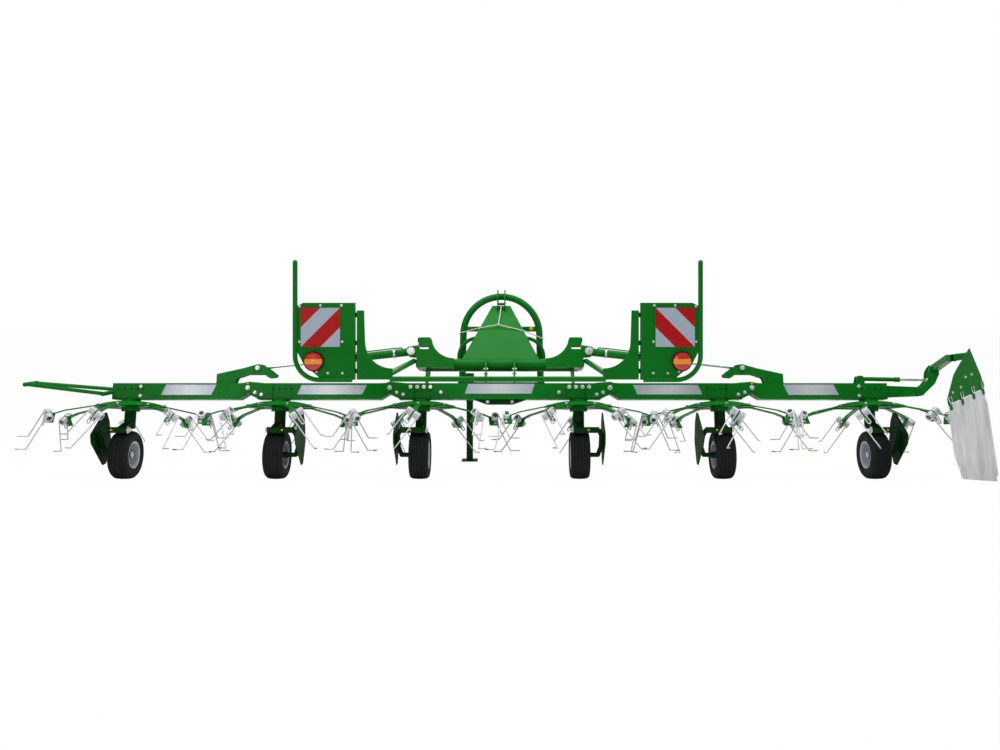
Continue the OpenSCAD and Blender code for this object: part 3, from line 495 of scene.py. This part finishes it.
def slab(corners, thickness, place, bevel, border=0.0):
    """A thin plate from four corners in its own plane, with rolled edges and, if asked, a border."""
    start()
    bpy.ops.mesh.primitive_plane_add(size=1)
    piece = bpy.context.active_object
    order = sorted(piece.data.vertices, key=lambda v: (v.co.y, v.co.x))
    for vertex, (x, y) in zip(order, corners):
        vertex.co = (x, y, 0.0)
    edit(piece)
    bpy.ops.mesh.select_all(action="SELECT")
    bpy.ops.mesh.extrude_region_move(TRANSFORM_OT_translate={"value": (0, 0, thickness)})
    bpy.ops.mesh.select_all(action="SELECT")
    bpy.ops.mesh.normals_make_consistent(inside=False)
    bpy.ops.mesh.bevel(offset=bevel, segments=2, affect="EDGES")
    if border:
        pick_faces(piece, lambda c, n: n.z > 0.99)
        bpy.ops.mesh.inset(thickness=border, depth=0.0)
        bpy.ops.mesh.inset(thickness=bevel, depth=-bevel)
    start()
    piece.data.transform(place)
    return piece


def on_rear(u, w, out=BEAM_HALF):
    """Seat on the rear of a beam, facing backwards."""
    return BEAM @ at(u, -out, w) @ TO_REAR


def on_front(u, w, out):
    """Seat on the front of a beam, facing forwards."""
    return BEAM @ at(u, out, w) @ TO_FRONT


def facing(f):
    """Turn that faces forwards or backwards."""
    return TO_FRONT if f > 0 else TO_REAR


def outwards(side):
    """Turn that faces right or left."""
    return TO_RIGHT if side > 0 else TO_LEFT


# Settings


def colour(name, description, default):
    """A colour that the sidebar shows."""
    return bpy.props.FloatVectorProperty(
        name=name, description=description, subtype="COLOR", size=3, min=0, max=1, default=default)


def length(name, description, default, low, high):
    """A length in metres that the sidebar shows."""
    return bpy.props.FloatProperty(
        name=name, description=description, default=default, min=low, max=high, unit="LENGTH")


class TedderColours(bpy.types.PropertyGroup):
    """Colours of the machine's finishes."""

    green: colour("Frame green", "Paint of the beams, headstock and rotors", (0.0012, 0.165, 0.010))
    dark_green: colour("Leg green", "Paint of the wheel legs, gearbox and stand", (0.0010, 0.038, 0.004))
    silver: colour("Rim silver", "Paint of the wheel rims", (0.42, 0.46, 0.50))
    zinc: colour("Tine steel", "Plated wire of the tines", (0.62, 0.64, 0.66))
    tyre_black: colour("Tyre black", "Rubber of the tyres and buffers", (0.010, 0.011, 0.012))
    red: colour("Board red", "Red bands of the warning boards", (0.46, 0.003, 0.004))
    white: colour("Board white", "Pale bands of the warning boards", (0.40, 0.47, 0.56))
    amber: colour("Lamp amber", "Middle band of the rear lamps", (0.90, 0.32, 0.01))
    curtain: colour("Curtain grey", "Coated fabric of the deflector curtain", (0.70, 0.72, 0.73))
    odd_tip: colour("Odd tine tips", "Paint on the tine tips of the odd rotors", (0.75, 0.47, 0.01))
    even_tip: colour("Even tine tips", "Paint on the tine tips of the even rotors", (0.02, 0.12, 0.48))


class TedderSizes(bpy.types.PropertyGroup):
    """Sizes of the fittings."""

    plate_t: length("Plate thickness", "Thickness of the blank plates", 0.002, 0.001, 0.004)
    bolt_r: length("Bolt radius", "Radius of an ordinary bolt head", 0.010, 0.006, 0.014)
    cap_r: length("Cap bolt radius", "Radius of the bright cap bolts", 0.0165, 0.010, 0.022)
    groove: length("Tread groove", "Depth of the round tread grooves", 0.007, 0.003, 0.010)
    tip_l: length("Tip length", "Painted length at a tine's tip", 0.030, 0.01, 0.05)
    curtain_t: length("Curtain thickness", "Thickness of the coated fabric", 0.0025, 0.001, 0.004)


def colours():
    return bpy.context.scene.tedder_colours


def sizes():
    return bpy.context.scene.tedder_sizes


class TEDDER_OT_finishes(bpy.types.Operator):
    """Makes the finishes and puts one on every solid of the machine"""

    bl_idname = "tedder.finishes"
    bl_label = "Paint the solids"

    def execute(self, context):
        c = colours()
        FINISH["green"] = powder_paint("frame_green", tuple(c.green), 0.30, 0.10)
        FINISH["dark"] = powder_paint("leg_green", tuple(c.dark_green), 0.62, 0.14)
        FINISH["silver"] = powder_paint("rim_silver", tuple(c.silver), 0.34, 0.18)
        FINISH["zinc"] = bare_metal("tine_steel", tuple(c.zinc), 0.34, 0.35)
        FINISH["bright"] = bare_metal("bright_steel", (0.80, 0.80, 0.80), 0.22, 0.7)
        FINISH["chrome"] = bare_metal("rod_chrome", (0.82, 0.83, 0.85), 0.06)
        FINISH["tyre"] = rubber("tyre_rubber", tuple(c.tyre_black), 0.68)
        FINISH["rubber"] = rubber("buffer_rubber", tuple(c.tyre_black), 0.60)
        FINISH["board"] = striped_board("striped_board", tuple(c.red), tuple(c.white))
        FINISH["lamp"] = lamp_lens("lamp_lens", (0.62, 0.012, 0.010), tuple(c.amber))
        FINISH["rope"] = twisted_rope("pull_rope", (0.80, 0.80, 0.78))
        FINISH["cloth"] = coated_cloth("curtain_cloth", tuple(c.curtain))
        FINISH["odd_tip"] = powder_paint("tip_yellow", tuple(c.odd_tip), 0.40, 0.05)
        FINISH["even_tip"] = powder_paint("tip_blue", tuple(c.even_tip), 0.40, 0.05)
        by_slot = {
            "green_paint": "green", "dark_green_paint": "dark", "silver_paint": "silver",
            "spring_steel": "zinc", "bright_steel": "bright", "chrome_rod": "chrome", "tyre": "tyre",
            "buffer": "rubber",
            "board": "board", "lamp": "lamp", "curtain": "cloth", "cord": "rope",
        }
        for part in frame["record"]["subparts"]:
            node = frame["nodes"][part["node"]]
            node.data.materials.clear()
            node.data.materials.append(FINISH[by_slot[part["material_slot"]]])
        return {"FINISHED"}


class TEDDER_OT_plates(bpy.types.Operator):
    """Blank slanted plates on the rear of the five beams"""

    bl_idname = "tedder.plates"
    bl_label = "Beam plates"

    def execute(self, context):
        # Painted reflection on the foil plates: pale in the middle, bluish at the ends
        pale, edge = (0.66, 0.68, 0.72), (0.27, 0.31, 0.46)
        thick = sizes().plate_t
        rows = [("plate_middle", 0.0, 0.020, 0.60, 0.083, 0.030, "frame")]
        for side, word in SIDES:
            rows.append((f"plate_inner_{word}", side * 1.435, 0.012, 0.59, 0.080, 0.035, WINGS[side]))
            rows.append((f"plate_outer_{word}", side * 2.660, 0.012, 0.47, 0.088, 0.040, OUTERS[side]))
        for name, u, w, long, high, slant, body in rows:
            a, b = long / 2, high / 2
            corners = [(-a, -b), (a - slant, -b), (-a + slant, b), (a, b)]
            if u > 0:
                corners = [(-a + slant, -b), (a, -b), (-a, b), (a - slant, b)]
            piece = slab(corners, thick, on_rear(u, w), 0.0006, 0.004)
            mat = bare_plate(f"foil_{name}", u, a, pale, edge)
            settle(piece, name, mat, body)
        return {"FINISHED"}


class TEDDER_OT_bolts(bpy.types.Operator):
    """Bolts, nuts and screws of the beams, brackets, lamp panels and rotors"""

    bl_idname = "tedder.bolts"
    bl_label = "Bolts and nuts"

    def execute(self, context):
        size = sizes()
        hexagon = hex_bolt(size.bolt_r, 0.008)
        small = hex_bolt(0.0065, 0.005)
        nut = hex_bolt(0.014, 0.012)
        disc = hex_bolt(0.024, 0.010)
        cap = cap_bolt(size.cap_r, 0.010)
        screw = cap_bolt(0.007, 0.003)
        for side, word in SIDES:
            self.beam_bolts(side, word, hexagon, nut, disc, cap, screw)
            self.panel_bolts(side, word, small)
        self.middle_bolts(hexagon)
        self.rotor_bolts(hexagon)
        discard(hexagon, small, nut, disc, cap, screw)
        return {"FINISHED"}

    def beam_bolts(self, side, word, hexagon, nut, disc, cap, screw):
        cover = BEAM_HALF + COVER_T
        ear = BEAM_HALF + EAR_T
        row = [on_rear(side * u, 0.034, cover) for u in (0.594, 0.650, 0.706)]
        row.append(on_rear(side * 0.762, 0.034, ear))
        bright(cap, row, f"cap_bolts_{word}", "frame")
        head = ear + 0.008
        hinges = ((HINGE_A, "frame", ""), (HINGE_B, WINGS[side], "outer_"))
        for u, body, kind in hinges:
            pins = [on_rear(side * u, HINGE_W, head), on_front(side * u, HINGE_W, head)]
            bright(nut, pins, f"{kind}hinge_nuts_{word}", body)
        for u, body, kind in hinges:
            ears = [on_rear(side * (u - back), w, ear) for back, w in ((0.115, -0.030), (0.060, -0.012))]
            bright(hexagon, ears, f"{kind}ear_bolts_{word}", body)
        covers = ((1.858, 0.050, WINGS[side], "inner"), (3.175, 0.055, OUTERS[side], "outer"))
        for middle, step, body, kind in covers:
            holes = [on_rear(side * (middle + step * d), 0.020, cover) for d in (-1.5, -0.5, 0.5, 1.5)]
            settle(strewn(screw, holes), f"cover_screws_{kind}_{word}", FINISH["rubber"], body)
        edge = [on_rear(side * 3.068, w, cover) for w in (-0.040, 0.040)]
        bright(hexagon, edge, f"cover_bolts_{word}", OUTERS[side])
        base = [BEAM @ at(side * BASE_PIN[0], f * 0.058, BASE_PIN[1]) @ facing(f) for f in (-1, 1)]
        bright(disc, base, f"cylinder_pin_nuts_{word}", "frame")
        eye = [BEAM @ at(side * LEVER_EYE[0], f * 0.050, LEVER_EYE[1]) @ facing(f) for f in (-1, 1)]
        bright(nut, eye, f"lever_pin_nuts_{word}", OUTERS[side])

    def panel_bolts(self, side, word, small):
        spots = [(1.478, 1.4545), (1.3225, 1.4600), (1.1665, 1.4600), (1.480, 1.190), (1.161, 1.190),
                 (1.352, 0.968), (1.268, 0.955), (1.159, 0.955)]
        rows = [at(side * x, PANEL_FACE, z) @ TO_REAR for x, z in spots]
        bright(small, rows, f"panel_bolts_{word}", "frame")

    def middle_bolts(self, hexagon):
        upright_x, upright_half = 0.125, 0.007
        rows = [on_rear(side * 0.505, -0.010) for side in (-1, 1)]
        for side in (-1, 1):
            for v, w in ((0.108, 0.210), (0.090, 0.171)):
                for f in (1, -1):
                    rows.append(BEAM @ at(side * upright_x + f * upright_half, v, w) @ outwards(f))
            rows.append(BEAM @ at(side * 0.105, -0.040, -0.088) @ TO_REAR)
        bright(hexagon, rows, "middle_bolts", "frame")

    def rotor_bolts(self, hexagon):
        for i in ROTORS:
            turns = [arm_turn(i, k) for k in range(ARMS)]
            hub = BEAM @ at(REEL_X[i - 1], 0, 0)
            rows = [hub @ Matrix.Rotation(t, 4, "Z") @ at(DISC_BOLT_R, 0, DISC_FACE) for t in turns]
            bright(hexagon, rows, f"disc_bolts_{i}", f"reel_{i}")


def arm_turn(i, k):
    """Angle of an arm about its rotor's axis; even rotors mirror the odd ones, half a pitch on."""
    if i % 2:
        return math.radians(-90) + k * PITCH
    return math.radians(270) + PITCH / 2 - k * PITCH


def tine_place(i, k):
    """Frame of one tine: X outwards, Z along the coils, -Y along the legs."""
    flip = Matrix.Identity(4) if i % 2 else Matrix.Diagonal((1, -1, 1, 1))
    phase = math.radians(-90) if i % 2 else math.radians(-270) - PITCH / 2
    hub = BEAM @ at(REEL_X[i - 1], 0, 0) @ flip @ Matrix.Rotation(phase + k * PITCH, 4, "Z")
    return hub @ at(COIL_R, 0, COIL_Z) @ Matrix.Rotation(COIL_LEAN, 4, "X")


class TEDDER_OT_tine_tips(bpy.types.Operator):
    """Painted tips on the long tine legs and the clamp bolts in the arms' tabs"""

    bl_idname = "tedder.tine_tips"
    bl_label = "Tine tips and clamps"

    def execute(self, context):
        lean = math.radians(17)
        coil_half, leg, foot = 0.0517, 0.318, 0.082
        run = Vector((math.sin(lean), -math.cos(lean), 0))
        out = Vector((math.cos(lean), math.sin(lean), 0))
        knee = out * 0.026 + Vector((0, 0, -coil_half)) + run * leg
        painted = sizes().tip_l
        outline = [(0.0001, 0.0006), (0.0042, 0.0006), (0.0054, -0.0008), (0.0054, -painted),
                   (0.0051, -painted)]
        tip = spun(outline, Matrix.Identity(4), 10)
        tip.data.transform(at(*(knee + Vector((foot, 0, 0)))) @ TO_RIGHT)
        clamp = hex_bolt(0.009, 0.007)
        for i in ROTORS:
            ends = [tine_place(i, k) for k in range(ARMS)]
            word = "odd_tip" if i % 2 else "even_tip"
            settle(strewn(tip, ends), f"tine_tips_{i}", FINISH[word], f"reel_{i}")
            seats = []
            for k in range(ARMS):
                for f in (-1, 1):
                    turn = Matrix.Identity(4) if f > 0 else Matrix.Rotation(math.pi, 4, "X")
                    seats.append(tine_place(i, k) @ at(0.004, -0.050, f * 0.0055) @ turn)
            bright(clamp, seats, f"tine_clamps_{i}", f"reel_{i}")
        discard(tip, clamp)
        return {"FINISHED"}


class TEDDER_OT_tyres(bpy.types.Operator):
    """Ribbed tyres in place of the plain solids, with wheel nuts and axle caps"""

    bl_idname = "tedder.tyres"
    bl_label = "Tyres and wheel nuts"

    def execute(self, context):
        nut = hex_bolt(0.0095, 0.010)
        cap = domed_cap(0.024, 0.020)
        for i in ROTORS:
            guard = -1 if i % 2 else 1
            place = at(REEL_X[i - 1], AXLE_Y, AXLE_Z) @ outwards(guard)
            piece = spun(self.outline(), place, 80)
            smooth(piece, 28)
            settle(piece, f"ribbed_tyre_{i}", FINISH["tyre"], f"wheel_{i}")
            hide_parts(f"tyre_{i}")
            back = Matrix.Rotation(math.pi, 4, "X")
            turns = [Matrix.Rotation(k * math.tau / 5, 4, "Z") for k in range(5)]
            nuts = [place @ t @ at(0.057, 0, 0.0185) @ back for t in turns]
            bright(nut, nuts, f"wheel_nuts_{i}", f"wheel_{i}")
            middle = [place @ at(0, 0, -0.0465) @ back]
            dome = strewn(cap, middle)
            smooth(dome, 40)
            settle(dome, f"axle_cap_{i}", FINISH["bright"], HOST[i])
        discard(nut, cap)
        return {"FINISHED"}

    def outline(self):
        groove = sizes().groove
        side = [(0.1034, 0.0640), (0.1090, 0.0685), (0.1170, 0.0712), (0.1185, 0.0735), (0.1260, 0.0745),
                (0.1400, 0.0795), (0.1415, 0.0806), (0.1445, 0.0806), (0.1460, 0.0800), (0.1600, 0.0822),
                (0.1720, 0.0812), (0.1800, 0.0785), (0.1815, 0.0795), (0.1850, 0.0775), (0.1900, 0.0715),
                (0.1945, 0.0665), (0.1968, 0.0615)]
        wall = ((0.0034, 0), (0.0024, 0.8), (0.0018, 1), (-0.0018, 1), (-0.0024, 0.8), (-0.0034, 0))
        tread = []
        for middle in (0.050, 0.030, 0.010, -0.010, -0.030, -0.050):
            for offset, deep in wall:
                x = middle + offset
                tread.append((0.2024 - 1.15 * x * x - deep * groove, x))
        other = [(r, -x) for r, x in reversed(side)]
        return side + tread + other


class TEDDER_OT_lamps(bpy.types.Operator):
    """Black rims round the rear lamps"""

    bl_idname = "tedder.lamps"
    bl_label = "Lamp rims"

    def execute(self, context):
        ring = [(0.0682, 0.0005), (0.0745, 0.0005), (0.0752, 0.0060), (0.0742, 0.0220), (0.0722, 0.0275),
                (0.0694, 0.0270), (0.0682, 0.0240)]
        for side, word in SIDES:
            piece = spun(ring, at(side * LAMP_X, PANEL_FACE, LAMP_Z) @ TO_REAR, 64)
            smooth(piece, 40)
            settle(piece, f"lamp_rim_{word}", FINISH["rubber"], "frame")
        return {"FINISHED"}


class TEDDER_OT_trim(bpy.types.Operator):
    """Cylinder pipes and bands, stop pads, hose caps, grease caps and the wheel legs' nuts"""

    bl_idname = "tedder.trim"
    bl_label = "Pipes, pads and caps"

    def execute(self, context):
        nut = hex_bolt(0.020, 0.014)
        grease = domed_cap(0.009, 0.012)
        yellow = FINISH["odd_tip"]
        for side, word in SIDES:
            self.cylinder_pipe(side, word)
            place = BEAM @ at(side * 0.7025, 0, 0.446) @ outwards(side) @ Matrix.Rotation(math.pi / 2, 4, "Z")
            pad = slab(oblong(0.046, 0.019), 0.010, place, 0.004)
            smooth(pad, 40)
            settle(pad, f"stop_pad_{word}", FINISH["rubber"], "frame")
            spot = on_rear(side * (HINGE_B + 0.004), HINGE_W + 0.038, BEAM_HALF + EAR_T)
            settle(strewn(grease, [spot]), f"hinge_grease_{word}", yellow, WINGS[side])
        hose = domed_cap(0.018, 0.030)
        for word, x, mat in (("a", -0.205, yellow), ("b", 0.195, FINISH["even_tip"]), ("c", 0.285, yellow)):
            cap = strewn(hose, [at(x, HITCH_Y - 0.020, 1.252) @ TO_REAR])
            settle(cap, f"hose_cap_{word}", mat, "frame")
        discard(hose)
        for i in ROTORS:
            guard = -1 if i % 2 else 1
            tube = at(REEL_X[i - 1], AXLE_Y - 0.092, AXLE_Z + 0.222)
            end = [tube @ at(-guard * 0.058, 0, 0) @ outwards(-guard)]
            bright(nut, end, f"leg_nut_{i}", HOST[i])
            cap = strewn(grease, [tube @ at(guard * 0.070, -0.0245, 0.004) @ TO_REAR])
            settle(cap, f"grease_cap_{i}", yellow, HOST[i])
        discard(nut, grease)
        return {"FINISHED"}

    def cylinder_pipe(self, side, word):
        base = Vector((side * BASE_PIN[0], 0.0, BASE_PIN[1]))
        eye = Vector((side * LEVER_EYE[0], 0.0, LEVER_EYE[1]))
        along = (eye - base).normalized()
        up = Vector((-along.z * side, 0, along.x * side))
        path = [(0.075, 0.028), (0.082, 0.039), (0.110, 0.042), (0.300, 0.042), (0.560, 0.042),
                (0.590, 0.041), (0.600, 0.030)]
        points = [BEAM @ (base + along * s + up * h + Vector((0, -0.012, 0))) for s, h in path]
        tube = pipe(points, 0.0055)
        smooth(tube, 60)
        settle(tube, f"cylinder_pipe_{word}", FINISH["green"], f"cylinder_{word}")
        ring = [(0.0342, -0.008), (0.0385, -0.008), (0.0400, -0.005), (0.0400, 0.005), (0.0385, 0.008),
                (0.0342, 0.008)]
        spin = Vector((0, 0, 1)).rotation_difference(along).to_matrix().to_4x4()
        bands = [spun(ring, BEAM @ at(*(base + along * s)) @ spin, 40) for s in (0.150, 0.520)]
        band = joined(bands)
        smooth(band, 40)
        settle(band, f"cylinder_bands_{word}", FINISH["bright"], f"cylinder_{word}")


PANEL = (at(3.392, BEAM_Y - 0.985, 0.705) @ Matrix.Rotation(math.radians(40.5), 4, "Z")
         @ Matrix.Rotation(-EDGE_SLOPE, 4, "Y") @ Matrix.Rotation(math.radians(-8), 4, "X"))


class TEDDER_OT_curtain(bpy.types.Operator):
    """Hanging curtain with rod pockets and a curled corner, its clips and the arm's end plug"""

    bl_idname = "tedder.curtain"
    bl_label = "Deflector curtain"

    def execute(self, context):
        self.cloth()
        self.clips()
        return {"FINISHED"}

    def cloth(self):
        start()
        across, down_steps = 160, 56
        bpy.ops.mesh.primitive_grid_add(x_subdivisions=across, y_subdivisions=down_steps, size=1)
        piece = bpy.context.active_object
        down = Vector((-math.sin(EDGE_SLOPE), 0, -math.cos(EDGE_SLOPE)))
        corner_w, edge_w, pocket_w, hem = 0.14, 0.09, 0.028, 0.93
        corner_up, corner_curl, edge_curl, pocket_deep = 0.075, 0.040, 0.030, 0.0220
        clamped, eased = 0.045, 0.05
        for vertex in piece.data.vertices:
            a, b = vertex.co.x + 0.5, 0.5 - vertex.co.y
            height = SHORT_DROP + (LONG_DROP - SHORT_DROP) * a
            corner = max(0.0, 1 - a / corner_w)
            drop = b * (height - corner_up * corner * corner * b)
            pocket = sum(math.exp(-((a - c) / pocket_w) ** 4) for c in CLIPS) * (1 if b < hem else 0.3)
            sway = math.sin(a * 23.0 + 0.6) * 0.0085 * b + math.sin(a * 9.0 + b * 2.2) * 0.010 * b
            edge = max(0.0, 1 - (1 - a) / edge_w)
            curl = corner_curl * corner * corner * b ** 6 - edge_curl * edge * edge * b * b
            lift = min(1.0, max(0.0, (drop - clamped) / eased))
            y = -(pocket * pocket_deep + curl) * lift + sway
            spot = Vector((a * CURTAIN_L, y, 0)) + down * drop
            vertex.co = PANEL @ spot
        mod = piece.modifiers.new("cloth", "SOLIDIFY")
        mod.thickness = sizes().curtain_t
        mod.offset = 0.0
        only(piece)
        bpy.ops.object.modifier_apply(modifier=mod.name)
        smooth(piece, 60)
        settle(piece, "hung_curtain", FINISH["cloth"], "deflector")
        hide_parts("deflector_curtain")

    def clips(self):
        bends = ((-0.020, 0.062), (-0.020, 0.030), (-0.011, 0.012), (0.0, 0.006), (0.011, 0.012),
                 (0.020, 0.030), (0.020, 0.062))
        loops = [[PANEL @ Vector((c * CURTAIN_L + dx, -0.0105, z)) for dx, z in bends] for c in CLIPS]
        wire = joined([pipe(loop, 0.0035, 3) for loop in loops])
        smooth(wire, 60)
        settle(wire, "curtain_clips", FINISH["bright"], "deflector")
        small = hex_bolt(0.008, 0.006)
        spots = [(0.36, 0.150), (0.47, 0.150), (0.25, 0.090), (0.10, 0.080)]
        rows = [PANEL @ at(x, -0.0025, z) @ TO_REAR for x, z in spots]
        bright(small, rows, "panel_plate_bolts", "deflector")
        discard(small)
        tip = (3.607 + 0.018, BEAM_Y - 0.520 - 0.060, BEAM_Z + 0.318)
        plug = slab(oblong(0.021, 0.021), 0.003, at(*tip) @ TO_REAR, 0.001, 0.004)
        settle(plug, "arm_end_plug", FINISH["rubber"], "deflector")


class TEDDER_OT_stage(bpy.types.Operator):
    """Pale floor, soft studio light and the camera behind the machine"""

    bl_idname = "tedder.stage"
    bl_label = "Studio stage"

    def execute(self, context):
        scene = context.scene
        scene.view_settings.view_transform = "Standard"
        start()
        bpy.ops.mesh.primitive_plane_add(size=120)
        floor = bpy.context.active_object
        floor.name = "floor"
        mat, shader, coords = new_finish("pale_floor")
        tone = mixed(mat, noise(mat, coords, 0.6), (0.86, 0.86, 0.86), (0.90, 0.90, 0.90))
        feed(mat, shader.inputs["Base Color"], tone)
        shader.inputs["Roughness"].default_value = 0.9
        self.paper(mat, shader)
        floor.data.materials.append(mat)
        self.world(scene)
        self.lamp("top_light", (0, -0.4, 5.5), (0, 0, 0.6), (11.0, 5.0), 420)
        self.lamp("rear_light", (-4.0, -9.0, 4.2), (0, 0, 0.7), (7.0, 4.0), 150)
        self.lamp("side_light", (8.0, -3.0, 3.5), (1.5, 0, 0.7), (4.0, 3.0), 60)
        self.lamp("front_light", (2.0, 9.0, 4.2), (0, 0, 0.7), (7.0, 3.5), 110)
        camera = bpy.data.cameras.new("view_from_behind")
        sensor = 36.0
        camera.sensor_width = sensor
        camera.lens = sensor * 0.905
        camera.shift_x = -0.0139
        camera.shift_y = -0.0615
        camera.clip_end = 300
        eye = bpy.data.objects.new("view_from_behind", camera)
        eye.location = (0.12, BEAM_Y - 7.8, 1.4)
        eye.rotation_euler = (math.radians(90), 0, 0)
        scene.collection.objects.link(eye)
        scene.camera = eye
        return {"FINISHED"}

    def paper(self, mat, shader):
        """Mixes the floor with plain white where the camera sees it, so that shadows stay faint."""
        nodes, links = mat.node_tree.nodes, mat.node_tree.links
        white = nodes.new("ShaderNodeEmission")
        white.inputs["Color"].default_value = (1, 1, 1, 1)
        white.inputs["Strength"].default_value = 1.0
        path = nodes.new("ShaderNodeLightPath")
        share = maths(mat, "MULTIPLY", path.outputs["Is Camera Ray"], 0.98)
        mix = nodes.new("ShaderNodeMixShader")
        links.new(share, mix.inputs[0])
        links.new(shader.outputs["BSDF"], mix.inputs[1])
        links.new(white.outputs[0], mix.inputs[2])
        out = next(n for n in nodes if n.type == "OUTPUT_MATERIAL")
        links.new(mix.outputs[0], out.inputs["Surface"])

    def lamp(self, name, place, aim, size, power):
        data = bpy.data.lights.new(name, "AREA")
        data.shape = "RECTANGLE"
        data.size, data.size_y = size
        data.energy = power
        lamp = bpy.data.objects.new(name, data)
        lamp.location = place
        lamp.rotation_euler = (Vector(aim) - Vector(place)).to_track_quat("-Z", "Y").to_euler()
        bpy.context.scene.collection.objects.link(lamp)

    def world(self, scene):
        world = bpy.data.worlds.new("studio")
        scene.world = world
        world.use_nodes = True
        nodes, links = world.node_tree.nodes, world.node_tree.links
        nodes.clear()
        out = nodes.new("ShaderNodeOutputWorld")
        mix = nodes.new("ShaderNodeMixShader")
        path = nodes.new("ShaderNodeLightPath")
        glow = nodes.new("ShaderNodeBackground")
        glow.inputs["Color"].default_value = (1, 1, 1, 1)
        glow.inputs["Strength"].default_value = 0.32
        seen = nodes.new("ShaderNodeBackground")
        seen.inputs["Color"].default_value = (1, 1, 1, 1)
        seen.inputs["Strength"].default_value = 1.0
        links.new(path.outputs["Is Camera Ray"], mix.inputs[0])
        links.new(glow.outputs[0], mix.inputs[1])
        links.new(seen.outputs[0], mix.inputs[2])
        links.new(mix.outputs[0], out.inputs["Surface"])


OPERATORS = (
    TEDDER_OT_stage, TEDDER_OT_finishes, TEDDER_OT_plates, TEDDER_OT_bolts, TEDDER_OT_tine_tips,
    TEDDER_OT_tyres, TEDDER_OT_lamps, TEDDER_OT_trim, TEDDER_OT_curtain,
)


class TEDDER_PT_panel(bpy.types.Panel):
    """Sidebar list of the tedder's dressing steps"""

    bl_idname = "TEDDER_PT_panel"
    bl_label = "Hay tedder"
    bl_space_type = "VIEW_3D"
    bl_region_type = "UI"
    bl_category = "Tedder"

    def draw(self, context):
        for group in (context.scene.tedder_colours, context.scene.tedder_sizes):
            for name in group.__annotations__:
                self.layout.prop(group, name)
        for operator in OPERATORS:
            self.layout.operator(operator.bl_idname)


CLASSES = (TedderColours, TedderSizes, *OPERATORS, TEDDER_PT_panel)


def register():
    for cls in CLASSES:
        bpy.utils.register_class(cls)
    bpy.types.Scene.tedder_colours = bpy.props.PointerProperty(type=TedderColours)
    bpy.types.Scene.tedder_sizes = bpy.props.PointerProperty(type=TedderSizes)


def unregister():
    del bpy.types.Scene.tedder_sizes
    del bpy.types.Scene.tedder_colours
    for cls in reversed(CLASSES):
        bpy.utils.unregister_class(cls)


def main():
    register()
    bpy.ops.tedder.stage()
    bpy.ops.tedder.finishes()
    bpy.ops.tedder.plates()
    bpy.ops.tedder.bolts()
    bpy.ops.tedder.tine_tips()
    bpy.ops.tedder.tyres()
    bpy.ops.tedder.lamps()
    bpy.ops.tedder.trim()
    bpy.ops.tedder.curtain()


if __name__ == "__main__":
    main()
